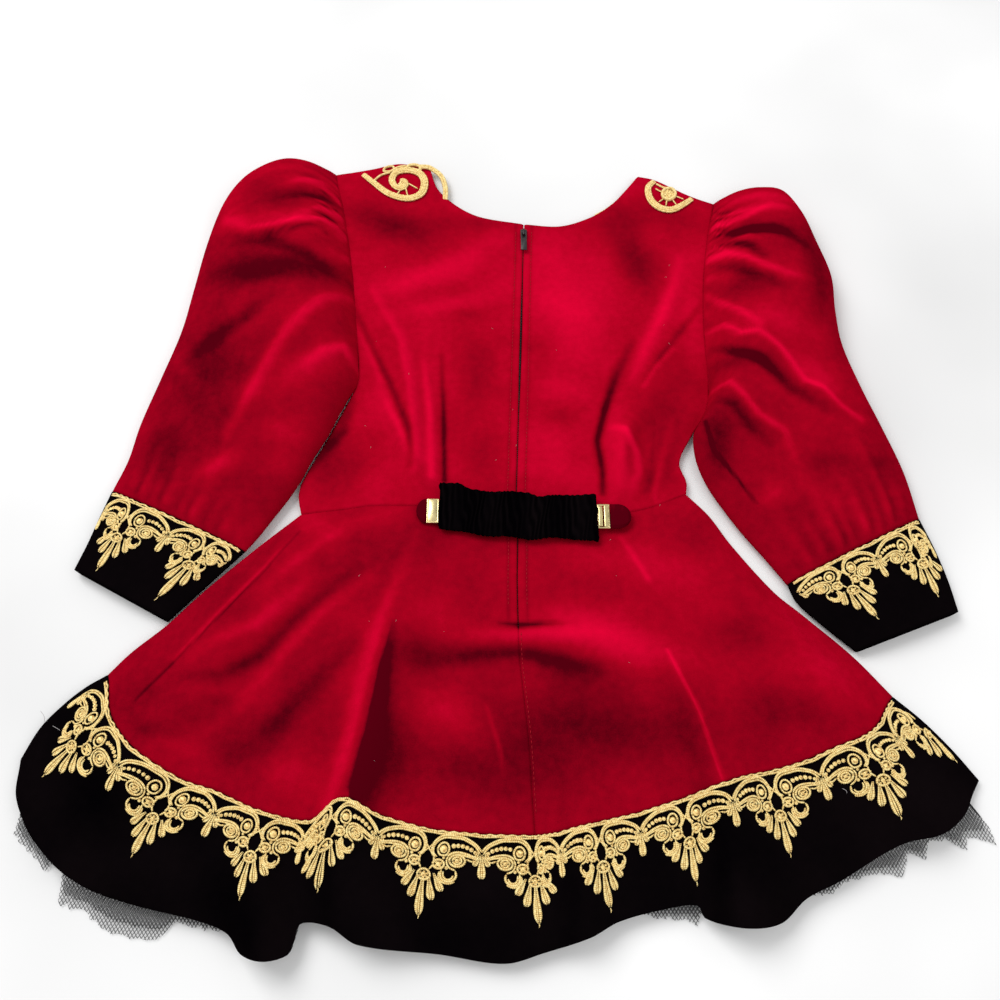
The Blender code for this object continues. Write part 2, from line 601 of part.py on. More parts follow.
def petticoat():
    """A flattened tube of net: its back layer under the skirt's folds, its front layer flat."""
    columns = sorted({*PETTICOAT_COLUMNS, *[row[0] for row in NET_REACH], *PETTICOAT_SIDES})
    columns = [share for share in columns if PETTICOAT_SIDES[0] <= share <= PETTICOAT_SIDES[1]]
    rest = WALL + LAYER_GAP
    rows = []
    for down in (*PETTICOAT_ROWS, "near hem", "hem"):
        top, bottom = [], []
        for across in columns:
            reach = read_table(NET_REACH, across, 1)
            foot = 2.0 + reach / BAND_DEPTH
            under = {"near hem": min(LEAST_FOOT, foot - FOOT_ROW), "hem": min(foot, 2.0)}.get(down, down)
            over = {"near hem": NEAR_HEM, "hem": AT_HEM}.get(down, down)
            plan = skirt_outer(across, over)
            plan.z -= (1 - PETTICOAT_FULLNESS) * relief(plan.x, plan.y) + WALL + LAYER_GAP + PETTICOAT_DROP
            top.append(Vector((plan.x, plan.y, max(plan.z, rest + NET_WALL * 2 + NET_FLOOR_GAP))))
            point = skirt_plan(across, under)
            lower = rest
            if down == "hem" and reach > 0:
                point = point + (skirt_plan(across, 2.0) - skirt_plan(across, 1.8)).normalized() * reach
                lower = between(rest, NET_FLOOR_GAP, ease(reach / 6.0))
            bottom.append(Vector((point.x, point.y, lower)))
        rows.append(top + bottom[::-1])
    surface("petticoat", rows[::-1], "net", NET_WALL, closed=True)


# Points round a sleeve: gathers on the back, then the flat underside
SLEEVE_BACK_POINTS = 18
SLEEVE_UNDER_POINTS = 5
SLEEVE_TIP_WALL = 3.5       # the wall where the back folds round to the underside
SLEEVE_HOLLOW_LEAST = 0.4
OUTER_FULLNESS = 0.8        # powers that shape the back's rise from the outer and the inner edge
INNER_FULLNESS = 1.1
UNDER_FLATNESS = 2.3        # how soon the underside comes down to the surface


def sleeve_heights(share, crown, edge):
    """Heights of a sleeve's underside and of its back, at a share across it."""
    turn = math.acos(min(max(1 - 2 * share, -1.0), 1.0))
    power = OUTER_FULLNESS if share < 0.5 else INNER_FULLNESS
    under = edge * max(0.0, 1 - UNDER_FLATNESS * math.sin(turn))
    return under, edge + (crown - edge) * math.sin(turn) ** power


def sleeve_ring(row, gather, wall):
    """One ring of a sleeve from its outer edge over the back to its inner edge and under,
    on the outer face for a wall of 0 or else inside it by the wall."""
    outer_x, outer_y, inner_x, inner_y, crown, edge, bow = row
    start, end = Vector((outer_x, outer_y)), Vector((inner_x, inner_y))
    way = end - start
    normal = Vector((-way.y, way.x)).normalized()
    tip = SLEEVE_TIP_WALL / way.length if wall else 0.0
    ring = []
    for index in range(SLEEVE_BACK_POINTS + SLEEVE_UNDER_POINTS):
        over = index <= SLEEVE_BACK_POINTS
        if over:
            turn = math.pi * index / SLEEVE_BACK_POINTS
        else:
            turn = math.pi * (1 - (index - SLEEVE_BACK_POINTS) / SLEEVE_UNDER_POINTS)
        share = between(tip, 1 - tip, (1 - math.cos(turn)) / 2)
        under_height, over_height = sleeve_heights(share, crown, edge)
        if over:
            over_height += gather * math.sin(turn) ** 2 * (1 if index % 2 else -1)
        middle = (under_height + over_height) / 2
        if wall and index in (0, SLEEVE_BACK_POINTS):
            height = middle
        elif wall and over:
            height = max(over_height - wall, middle + SLEEVE_HOLLOW_LEAST / 2)
        elif wall:
            height = min(under_height + wall, middle - SLEEVE_HOLLOW_LEAST / 2)
        else:
            height = over_height if over else under_height
        point = start + way * share + normal * bow * math.sin(math.pi * share)
        ring.append(Vector((point.x, point.y, height)))
    return ring


def sleeves():
    for side, sleeve, cuff in (("left", LEFT_SLEEVE, LEFT_CUFF), ("right", RIGHT_SLEEVE, RIGHT_CUFF)):
        outer_rings, inner_rings = [], []
        for index, row in enumerate(sleeve):
            gather = CAP_GATHER_HEIGHT * max(0.0, 1 - index / CAP_GATHER_ROWS) if index else 0.0
            outer_rings.append(sleeve_ring(row, gather, 0.0))
            inner_rings.append(sleeve_ring(row, gather, WALL))
        tube("sleeve_" + side, outer_rings, inner_rings, "red")
        tube("cuff_" + side, [sleeve_ring(row, 0.0, 0.0) for row in cuff],
             [sleeve_ring(row, 0.0, WALL) for row in cuff], "black")


def tube(name, outer_rings, inner_rings, finish):
    """A wall between two sets of closed rings, joined at both ends."""
    shape = bmesh.new()
    outer = [[shape.verts.new(place(point)) for point in ring] for ring in outer_rings]
    inner = [[shape.verts.new(place(point)) for point in ring] for ring in inner_rings]
    count = len(outer[0])
    for rings in (outer, inner):
        for first, second in zip(rings, rings[1:]):
            for index in range(count):
                after = (index + 1) % count
                shape.faces.new((first[index], first[after], second[after], second[index]))
    for first, second in ((outer[0], inner[0]), (outer[-1], inner[-1])):
        for index in range(count):
            after = (index + 1) % count
            shape.faces.new((first[index], first[after], second[after], second[index]))
    bmesh.ops.recalc_face_normals(shape, faces=shape.faces)
    mesh = bpy.data.meshes.new(name)
    shape.to_mesh(mesh)
    shape.free()
    return add_object(name, mesh, finish)


def lace(name, marks, spot, cuts, supports):
    """A strip of lace from the middle of a trefoil. The marks say at which places its half
    repeats end, and spot gives the plan point for a place between two marks and a depth."""
    top, foot, gaps = [], [], []
    for index in range(len(marks) - 1):
        fan_first = index % 2 == 1

        def locate(distance, depth, index=index, fan_first=fan_first):
            share = distance / HALF_REPEAT
            return spot(index + (share if fan_first else 1 - share), depth)

        order = 1 if fan_first else -1
        top += [locate(*point) for point in LACE_TOP[::order]][:-1]
        foot += [locate(*point) for point in LACE_FOOT[::order]][:-1]
        gaps += [[locate(*point) for point in gap] for gap in LACE_SIDE_GAPS]
        if fan_first:
            gaps += [[spot(index + x / HALF_REPEAT, depth) for x, depth in gap] for gap in LACE_AXIS_GAPS]
    last = 0 if len(marks) % 2 == 0 else -1     # an axis or the middle of a trefoil
    top.append(spot(len(marks) - 1, LACE_TOP[last][1]))
    foot.append(spot(len(marks) - 1, LACE_FOOT[last][1]))
    made = plate(name, top + foot[::-1], gaps, "gold thread", LACE_WALL, cuts)
    drape(made, supports, LACE_GAP, LACE_WALL)
    return made


def across_at(x, down):
    """The share across the skirt whose plan point has this x."""
    low, high = 0.0, 1.0
    for _ in range(30):
        middle = (low + high) / 2
        if skirt_plan(middle, down).x < x:
            low = middle
        else:
            high = middle
    return (low + high) / 2


TIP_BAND_DEPTH = 76.0           # of the band where the tips of the fans lie
LACE_DROP = 1.2                 # from the seam to the lace's top edge
LACE_ENDS = (0.006, 0.994)      # shares across the band where the lace ends


def hem_lace(band):
    tip_down = 1.0 + LACE_DEPTH / TIP_BAND_DEPTH
    marks = [(across_at(seam_x, 1.0), across_at(tip_x, tip_down)) for seam_x, tip_x in HEM_LACE_MARKS]
    marks[0], marks[-1] = (0.0, 0.0), (1.0, 1.0)

    def spot(place_along, depth):
        index = min(max(int(place_along), 0), len(marks) - 2)
        share = place_along - index
        seam_across = between(marks[index][0], marks[index + 1][0], share)
        tip_across = between(marks[index][1], marks[index + 1][1], share)
        across = between(seam_across, tip_across, max(depth, 0.0) / LACE_DEPTH)
        across = between(*LACE_ENDS, across)
        length = (skirt_plan(across, 2.0) - skirt_plan(across, 1.0)).length
        return skirt_plan(across, 1.0 + (depth + LACE_DROP) / length)

    cuts = [(skirt_plan(share, 1.0), skirt_plan(share, 2.0)) for share in sharp_columns(LEAST_TURN)]
    lace("hem_lace", marks, spot, cuts, [band])


CUFF_LACE_SHORTER = 0.86        # the photographed depth is cut a little short toward the wrist
CUFF_LACE_DROP = 1.6
CUFF_LACE_CUTS = (3, 6, 12, 15)     # points round the cuff at which its lace bends


def cuff_laces():
    for side, table, marks in (("left", LEFT_CUFF, LEFT_CUFF_MARKS), ("right", RIGHT_CUFF, RIGHT_CUFF_MARKS)):
        outer = Line([row[:2] for row in table])
        inner = Line([row[2:4] for row in table])

        def spot(place_along, depth, outer=outer, inner=inner, marks=marks):
            index = min(max(int(place_along), 0), len(marks) - 2)
            share = between(marks[index], marks[index + 1], place_along - index)
            down = (depth * CUFF_LACE_SHORTER + CUFF_LACE_DROP) / outer.marks[-1]
            return outer.at(down) * (1 - share) + inner.at(down) * share

        cuts = []
        for index in CUFF_LACE_CUTS:
            share = (1 - math.cos(math.pi * index / SLEEVE_BACK_POINTS)) / 2
            cuts.append((outer.at(0) * (1 - share) + inner.at(0) * share,
                         outer.at(1) * (1 - share) + inner.at(1) * share))
        lace("cuff_lace_" + side, marks, spot, cuts, [bpy.data.objects["cuff_" + side]])


APPLIQUE_WALL = LACE_WALL * 1.4


def appliques():
    supports = [bpy.data.objects["bodice_back_left"], bpy.data.objects["bodice_back_right"]]
    for side, outline, gaps in (("left", LEFT_APPLIQUE, LEFT_APPLIQUE_GAPS),
                                ("right", RIGHT_APPLIQUE, RIGHT_APPLIQUE_GAPS)):
        made = plate("applique_" + side, outline, gaps, "gold thread", APPLIQUE_WALL)
        drape(made, supports, LACE_GAP, APPLIQUE_WALL)


def belt():
    """The ruched belt, its two clips and the tabs that they hook on to."""
    supports = [bpy.data.objects[name] for name in
                ("bodice_back_left", "bodice_back_right", "skirt_back_left", "skirt_back_right")]
    graph = bpy.context.evaluated_depsgraph_get()
    trees = [BVHTree.FromObject(support, graph) for support in supports]

    def cloth_height(x, y):
        above = place(Vector((x, y, 1000.0)))
        hits = [tree.ray_cast(above, Vector((0, 0, -1)))[0] for tree in trees]
        return max((hit.z for hit in hits if hit), default=0.0) / MM

    def middle_y(x):
        return BELT_TOP_Y - BELT_DEPTH / 2 + BELT_SLOPE * (x - BELT_ENDS[0])

    columns = BELT_RUCHES * 2
    rows_down = 4
    rests = []
    for row in range(rows_down + 1):
        rests.append([])
        for column in range(columns + 1):
            x = between(BELT_ENDS[0], BELT_ENDS[1], column / columns)
            y = middle_y(x) + BELT_DEPTH * (0.5 - row / rows_down)
            rests[row].append((x, y))
    level = max(cloth_height(x, y) for row in rests for x, y in row) + LAYER_GAP
    outer_rows = []
    for row in rests:
        edge = BELT_EDGE_SHARE if row in (rests[0], rests[-1]) else 1.0
        outer_rows.append([Vector((x, y, level + (BELT_THICKNESS + BELT_RUCHE_HEIGHT * (column % 2)) * edge))
                           for column, (x, y) in enumerate(row)])
    inner_rows = [[Vector((x, y, level)) for x, y in row] for row in rests]
    closed_block("belt", outer_rows, inner_rows, "black")

    for side, edge_x, turn in (("left", BELT_ENDS[0], -1), ("right", BELT_ENDS[1], 1)):
        width, depth = CLIP_SIZE
        centre_x = edge_x + turn * (width / 2 + SEAM_GAP)
        centre_y = middle_y(centre_x)
        clip = plate("belt_clip_" + side, rectangle(centre_x, centre_y, width, depth),
                     [rectangle(centre_x, centre_y, *CLIP_SLOT)], "gold metal", CLIP_THICKNESS)
        clip_level = max(cloth_height(centre_x + dx * width / 2, centre_y + dy * depth / 2)
                         for dx in (-1, 0, 1) for dy in (-1, 0, 1)) + LAYER_GAP
        clip_level = max(clip_level, level)
        shift_up(clip, clip_level + CLIP_THICKNESS / 2)
        tab(side, centre_x + turn * (width / 2 + SEAM_GAP), turn, centre_y, clip_level)


def rectangle(centre_x, centre_y, width, depth):
    half_width, half_depth = width / 2, depth / 2
    return [(centre_x - half_width, centre_y - half_depth), (centre_x + half_width, centre_y - half_depth),
            (centre_x + half_width, centre_y + half_depth), (centre_x - half_width, centre_y + half_depth)]


def tab(side, start, turn, centre_y, level):
    """A velvet tab with a rounded end, from the clip outward."""
    half, length = TAB_DEPTH / 2, TAB_LENGTHS[side]
    bend = min(half, length)
    outline = [(start, centre_y + half), (start, centre_y - half)]
    for step in range(7):
        angle = math.pi * (step / 6 - 0.5)
        outline.append((start + turn * (length - bend + bend * math.cos(angle)),
                        centre_y + half * math.sin(angle)))
    made = plate("belt_tab_" + side, outline, [], "red", TAB_THICKNESS)
    shift_up(made, level + TAB_THICKNESS / 2)


def closed_block(name, outer_rows, inner_rows, finish):
    """A solid between two grids of points with as many rows and columns, top over bottom."""
    rows, columns = len(outer_rows), len(outer_rows[0])
    shape = bmesh.new()
    top = [[shape.verts.new(place(point)) for point in row] for row in outer_rows]
    low = [[shape.verts.new(place(point)) for point in row] for row in inner_rows]
    for row in range(rows - 1):
        for column in range(columns - 1):
            for grid in (top, low):
                shape.faces.new((grid[row][column], grid[row + 1][column],
                                 grid[row + 1][column + 1], grid[row][column + 1]))
    for row in range(rows - 1):
        for column in (0, columns - 1):
            shape.faces.new((top[row][column], top[row + 1][column], low[row + 1][column], low[row][column]))
    for column in range(columns - 1):
        for row in (0, rows - 1):
            shape.faces.new((top[row][column], top[row][column + 1], low[row][column + 1], low[row][column]))
    bmesh.ops.recalc_face_normals(shape, faces=shape.faces)
    mesh = bpy.data.meshes.new(name)
    shape.to_mesh(mesh)
    shape.free()
    return add_object(name, mesh, finish)


def shift_up(made, height):
    for vertex in made.data.vertices:
        vertex.co.z += height * MM


def zip_tape():
    """The zip's tape, under the back on both sides of its slit."""
    names = ("bodice_back_left", "bodice_back_right", "skirt_back_left", "skirt_back_right")
    graph = bpy.context.evaluated_depsgraph_get()
    trees = [BVHTree.FromObject(bpy.data.objects[name], graph) for name in names]

    def underside(x, y):
        below = place(Vector((x, y, WALL + 0.1)))
        hits = [tree.ray_cast(below, Vector((0, 0, 1)))[0] for tree in trees]
        return min((hit.z for hit in hits if hit), default=1.0) / MM

    half = ZIP_TAPE_WIDTH / 2
    rows = []
    for step in range(ZIP_TAPE_ROWS + 1):
        y = between(SLIDER_Y + 4, ZIP_END_Y - 6, step / ZIP_TAPE_ROWS)
        centre = centre_line(y).x
        heights = [underside(centre + offset, y) for offset in (-half, -half / 2, -2, 2, half / 2, half)]
        level = min(heights) - LAYER_GAP
        rows.append([Vector((centre + offset, y, level)) for offset in (-half, 0.0, half)])
    surface("zip_tape", rows[::-1], "plastic", TAPE_WALL)


def centre_line(y):
    """The slit's plan point at this y, on the bodice or on the skirt."""
    low, high = 0.0, 1.0
    for _ in range(30):
        middle = (low + high) / 2
        if centre_point(middle).y > y:
            low = middle
        else:
            high = middle
    return centre_point((low + high) / 2)


def centre_point(share):
    """Down the centre back: the neck at 0, the waist at a half and the seam at 1."""
    if share < 0.5:
        return LINES["centre back"].at(1 - share * 2)
    return skirt_plan(0.5, share * 2 - 1)


def back_height(x, y):
    """Height of the back's outer face away from its sides."""
    below_waist = max(0.0, CENTRE_BACK[0][1] - y)
    rise = between(BODICE_RISE, SKIRT_RISE, ease(below_waist / SKIRT_RISE_LENGTH))
    return EDGE_HEIGHT + rise + relief(x, y)


def cube(name, centre, size, finish):
    """A box from its centre and its size in millimetres."""
    bpy.ops.mesh.primitive_cube_add(size=1.0, location=place(Vector(centre)))
    made = bpy.context.object
    made.name = name
    made.scale = [length * MM for length in size]
    bpy.ops.object.transform_apply(location=True, rotation=False, scale=True)
    made.data.name = name
    for collection in list(made.users_collection):
        collection.objects.unlink(made)
    bpy.data.collections["lace_dress"].objects.link(made)
    made.data.materials.append(material(name, *FINISHES[finish]))
    return made


def combine(made, others, operation):
    """Join the others to an object or cut them from it, and keep them out of the model."""
    for other in others:
        step = made.modifiers.new(operation, "BOOLEAN")
        step.operation = operation
        step.object = other
        other.hide_render = True
        other.display_type = "WIRE"
        bpy.data.collections["lace_dress"].objects.unlink(other)
        bpy.data.collections["cutters"].objects.link(other)


def slider_and_pull():
    centre = centre_line(SLIDER_Y)
    face = back_height(centre.x, SLIDER_Y) + LAYER_GAP
    width, length, height = SLIDER_SIZE
    slider = cube("zip_slider", (centre.x, SLIDER_Y, face + height / 2), SLIDER_SIZE, "plastic")
    neck_depth = WALL + LAYER_GAP
    neck = cube("slider_neck", (centre.x, SLIDER_Y, face - neck_depth / 2 + NECK_OVERLAP),
                (SLIDER_NECK_WIDTH, length * NECK_LENGTH_SHARE, neck_depth), "plastic")
    bridge_width, bridge_length, bridge_height = BRIDGE_SIZE
    bridge = cube("slider_bridge", (centre.x, SLIDER_Y, face + height + bridge_height / 2 - BRIDGE_OVERLAP),
                  (bridge_width, bridge_length, bridge_height), "plastic")
    window_low = face + height
    window_high = face + height - BRIDGE_OVERLAP + bridge_height - BRIDGE_BAR
    window = cube("bridge_window", (centre.x, SLIDER_Y, (window_low + window_high) / 2),
                  (bridge_width * 2, bridge_length - 2 * BRIDGE_BAR, window_high - window_low), "plastic")
    combine(bridge, [window], "DIFFERENCE")
    combine(slider, [neck, bridge], "UNION")

    # The pull turns on the bar at its head, which runs under the bridge, and lies down the back
    axis = Vector((centre.x, SLIDER_Y, face + height + PULL_AXIS_RISE))
    pull_width, pull_length, pull_thickness = PULL_SIZE
    eye_width, eye_length = PULL_EYE
    head_y, end_y = axis.y + PULL_BAR / 2, axis.y - pull_length
    half, end_half, corner = pull_width / 2, PULL_END_WIDTH / 2, PULL_CORNER
    outline = [(axis.x - half, head_y), (axis.x - end_half, end_y + corner),
               (axis.x - end_half + corner, end_y), (axis.x + end_half - corner, end_y),
               (axis.x + end_half, end_y + corner), (axis.x + half, head_y)]
    eye = rectangle(axis.x, axis.y - (PULL_BAR + eye_length) / 2, eye_width, eye_length)
    pull = plate("zip_pull", outline, [eye], "plastic", pull_thickness)
    shift_up(pull, axis.z)


def main():
    for old in list(bpy.data.objects):
        bpy.data.objects.remove(old)
    for name in ("lace_dress", "cutters"):
        collection = bpy.data.collections.new(name)
        bpy.context.scene.collection.children.link(collection)
    back_bodice()
    back_skirt()
    band = back_band()
    fronts()
    petticoat()
    sleeves()
    hem_lace(band)
    cuff_laces()
    appliques()
    belt()
    zip_tape()
    slider_and_pull()


main()
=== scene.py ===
import math
import random

import bpy
import numpy as np
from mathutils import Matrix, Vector


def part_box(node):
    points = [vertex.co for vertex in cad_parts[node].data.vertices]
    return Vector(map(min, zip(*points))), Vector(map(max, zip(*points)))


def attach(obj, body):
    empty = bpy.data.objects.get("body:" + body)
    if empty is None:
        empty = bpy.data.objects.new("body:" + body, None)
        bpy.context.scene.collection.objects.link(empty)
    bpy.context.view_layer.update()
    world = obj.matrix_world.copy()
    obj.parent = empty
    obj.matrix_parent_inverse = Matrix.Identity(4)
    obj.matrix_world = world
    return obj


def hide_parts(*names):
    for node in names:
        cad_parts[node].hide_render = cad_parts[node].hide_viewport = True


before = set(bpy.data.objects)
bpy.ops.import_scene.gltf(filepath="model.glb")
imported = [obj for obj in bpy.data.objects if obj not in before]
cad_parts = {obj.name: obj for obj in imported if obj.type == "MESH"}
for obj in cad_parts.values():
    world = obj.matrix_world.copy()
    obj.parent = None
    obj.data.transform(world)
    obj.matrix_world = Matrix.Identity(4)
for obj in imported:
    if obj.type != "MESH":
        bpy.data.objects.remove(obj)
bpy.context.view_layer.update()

MM = 0.001
PLAN_CENTRE = (2.5, 314.56)

# Camera and light, in metres and watts
CAMERA_TILT = math.radians(25)
CAMERA_HEIGHT = 0.665
CAMERA_PLAN_Y = -1.26
LENS = 36.0             # in millimetres, as the next line
SENSOR = 36.0
NEAR_CLIP = 0.01
WORLD_STRENGTH = 0.62
KEY_POWER = 52.0
FILL_POWER = 16.0
FLOOR_SIZE = 8.0
FLOOR_LEVEL = -0.0005

# Cloth
SHELL = 1.3             # velvet with its lining
NET_WALL = 1.0
LAYER_GAP = 0.4
CAD_WALL = 2.0
EDGE_HEIGHT = 4.4
BODICE_RISE = 1.0
SKIRT_RISE = 6.2
SKIRT_RISE_LENGTH = 55.0
ZIP_SLIT = 0.6
ZIP_SPREAD = 1.1        # how much wider the slit stands halfway up the bodice
SEAM_DIP = 0.12
SEAM_GAP = 0.02
ZIP_END_Y = 208.0
SLIDER_Y = 549.0
STITCH_OFFSET = 6.5
SIDE_ROLL = 0.05        # share of the skirt's width over which each side curves down

# Soft uneven ripples of the cloth: height, wave length, seed
SKIRT_RIPPLE = (0.35, 46, 3)
BODICE_RIPPLE = (0.3, 40, 5)
SLEEVE_RIPPLE = (0.7, 34, 9)
# The same in the brightness of the nap
BAND_NAP_RIPPLE = (0.25, 60, 12)
FRONT_NAP_RIPPLES = [(0.35, 90, 21), (0.15, 30, 22)]
RIPPLE_WAVES = 5

# Outlines in plan, each a row of (x, y)
WAIST = [(-144, 295), (-117, 298), (-90, 302), (-54, 300), (-22, 298), (11.5, 296),
         (43, 292), (79, 294), (108, 300), (136, 311)]
CENTRE_BACK = [(11.5, 296), (13, 345), (16, 433), (20, 561)]
LEFT_NECK = [(20, 561), (-17, 569), (-38, 582), (-53, 599), (-60, 621)]
LEFT_SHOULDER = [(-60, 621), (-86, 627), (-110, 621), (-140, 614)]
LEFT_SIDE = [(-144, 295), (-147, 310), (-145, 322), (-128, 360), (-110, 405), (-109, 417),
             (-112, 442), (-120, 490), (-130, 550), (-140, 614)]
RIGHT_NECK = [(20, 561), (50, 559), (75, 568), (94, 582), (108, 599), (118, 613)]
RIGHT_SHOULDER = [(118, 613), (132, 609), (160, 592), (180, 582)]
RIGHT_SIDE = [(136, 311), (137, 321), (133, 337), (144, 360), (157, 381), (161, 404),
              (161, 442), (163, 480), (170, 530), (180, 582)]
LEFT_EDGE = [(-144, 295), (-173, 269), (-208, 235), (-229, 212), (-251, 192), (-264, 177)]
RIGHT_EDGE = [(136, 311), (151, 294), (165, 271), (191, 236), (208, 220), (239, 190), (262, 162)]
SEAM = [(-264, 177), (-255, 148), (-236, 127), (-205, 108), (-178, 99), (-150, 87), (-119, 82),
        (-98, 94), (-76, 85), (-44, 77), (-13, 74), (22, 73), (38, 75), (63, 81), (88, 87),
        (121, 97), (154, 108), (187, 116), (214, 126), (240, 137), (262, 162)]
LEFT_BAND_EDGE = [(-264, 177), (-278, 168), (-291, 156), (-303, 141), (-312, 120)]
RIGHT_BAND_EDGE = [(262, 162), (279, 146), (295, 127), (309, 107)]
HEM = [(-312, 120), (-310, 100), (-303, 86), (-291, 70), (-257, 44), (-225, 33), (-181, 23),
       (-163, 16), (-153, 5), (-138, 1), (-126, 5), (-123, 13), (-120, 22), (-102, 20),
       (-84, 10), (-36, 5), (3, 0), (27, 6), (54, 14), (72, 23), (100, 30), (120, 32),
       (124, 25), (144, 19), (169, 22), (187, 36), (209, 46), (249, 67), (275, 73),
       (293, 85), (304, 100), (309, 107)]
FRONT_NECK_DROP = 38.0

# The skirt's columns: which x at the waist, the seam and the hem lie on one line
COLUMN_GUIDES = [
    # share, waist x, seam x, hem x
    (0.00, -144.0, -264.0, -312.0),
    (0.30, -54.0, -98.0, -100.0),
    (0.50, 11.5, 22.0, 22.0),
    (0.70, 79.0, 121.0, 121.0),
    (1.00, 136.0, 262.0, 309.0),
]

# The largest folds of the back, each a ridge through rows of
# (x, y, width to its left, width to its right, height)
FOLDS = [
    [(-58, 292, 12, 14, 1.5), (-60, 262, 14, 16, 6.0), (-69, 227, 16, 22, 9.0),
     (-76, 158, 18, 26, 12.0), (-98, 91, 13, 30, 14.0), (-97, 52, 14, 30, 12.0), (-92, 4, 16, 30, 10.0)],
    [(-112, 220, 16, 16, 1.0), (-130, 150, 18, 18, 5.0), (-149, 87, 20, 15, 9.0),
     (-145, 47, 20, 13, 12.0), (-139, 0, 18, 10, 14.0)],
    [(86, 262, 12, 14, 2.0), (106, 205, 14, 20, 6.0), (125, 158, 14, 24, 9.0),
     (137, 100, 11, 26, 11.0), (143, 58, 12, 26, 13.0), (141, 12, 11, 26, 14.0)],
    [(38, 150, 14, 14, 0.5), (46, 110, 12, 16, 4.0), (50, 60, 11, 18, 7.0), (50, 8, 12, 18, 7.0)],
    [(142, 275, 12, 14, 1.0), (185, 205, 18, 20, 6.0), (226, 140, 20, 20, 9.0), (262, 78, 20, 22, 8.0)],
    [(-138, 270, 12, 14, 1.0), (-180, 200, 18, 18, 6.0), (-224, 130, 20, 20, 8.0),
     (-266, 60, 20, 20, 8.0)],
    [(-60, 300, 9, 12, 1.5), (-60, 320, 9, 12, 5.0), (-63, 345, 10, 13, 7.0),
     (-68, 375, 12, 15, 6.0), (-84, 424, 14, 16, 4.0), (-104, 478, 16, 16, 1.5)],
    [(93, 308, 9, 10, 1.0), (91, 328, 10, 10, 6.0), (92, 350, 10, 10, 8.0),
     (98, 368, 11, 11, 7.0), (114, 397, 13, 12, 5.0), (138, 441, 14, 14, 3.0), (156, 476, 14, 14, 1.0)],
    [(-106, 424, 9, 9, 1.2), (-118, 500, 9, 9, 1.2), (-137, 606, 9, 9, 1.2)],
    [(158, 412, 9, 9, 1.2), (161, 490, 9, 9, 1.2), (176, 576, 9, 9, 1.2)],
]

# Smaller creases of the skirt, troughs with a height below zero
SKIRT_CREASES = [
    [(-120, 296, 5, 6, 0.3), (-128, 270, 6, 7, 1.1), (-142, 236, 8, 8, 0.2)],
    [(-96, 298, 4, 5, 0.4), (-99, 278, 5, 6, 1.2), (-107, 248, 6, 7, 0.2)],
    [(-28, 296, 4, 5, 0.5), (-31, 272, 5, 6, 0.9), (-35, 238, 7, 7, 0.2)],
    [(52, 290, 4, 5, 0.5), (55, 262, 5, 6, 1.0), (63, 226, 6, 7, 0.2)],
    [(112, 298, 4, 5, 0.4), (118, 276, 5, 6, 1.2), (131, 244, 7, 7, 0.2)],
    [(87, 273, 3, 5, 0.4), (95, 258, 3, 5, 1.0), (102, 243, 3, 5, 0.3)],
    [(-38, 204, 5, 6, 0.3), (-20, 203, 4, 6, 1.2), (2, 202, 3, 6, 2.0), (27, 203, 3, 7, 2.6),
     (48, 202, 5, 9, 2.6), (68, 197, 8, 9, 2.0), (94, 188, 8, 9, 0.8), (114, 178, 8, 9, 0.2)],
    [(-4, 211, 3, 3, -0.3), (12, 209.5, 3, 3, -1.7), (30, 211, 3, 3, -0.6), (46, 211, 3, 3, -0.1)],
    [(-40, 185, 5, 6, -0.2), (-13, 189, 5, 6, -1.0), (10, 191, 5, 6, -1.3), (40, 184, 6, 7, -1.1),
     (62, 179, 6, 7, -0.3)],
    [(-72, 299, 5, 7, 0.3), (-109, 284, 5, 8, 1.6), (-140, 256, 6, 8, 1.6), (-168, 231, 7, 8, 0.4)],
    [(-130, 245, 6, 8, 0.4), (-165, 207, 6, 9, 2.4), (-189, 196, 6, 9, 1.8), (-209, 184, 6, 8, 0.4)],
    [(-89, 244, 6, 8, 0.4), (-120, 219, 6, 9, 1.8), (-141, 193, 7, 9, 2.2), (-159, 168, 7, 9, 2.0),
     (-171, 150, 7, 9, 1.4), (-201, 129, 7, 9, 0.4)],
    [(-99, 254, 6, 6, -0.3), (-136, 223, 6, 7, -1.6), (-163, 191, 6, 7, -2.0), (-186, 176, 6, 7, -1.4),
     (-214, 172, 6, 7, -0.3)],
    [(-46, 172, 9, 9, 0.3), (-30, 152, 10, 10, 1.4), (-10, 133, 10, 10, 0.4)],
    [(198, 190, 9, 9, 0.3), (212, 172, 9, 9, 1.6), (228, 152, 9, 9, 0.5)],
    [(-205, 150, 8, 8, 0.3), (-226, 152, 9, 9, 1.4), (-243, 155, 9, 9, 0.5)],
]
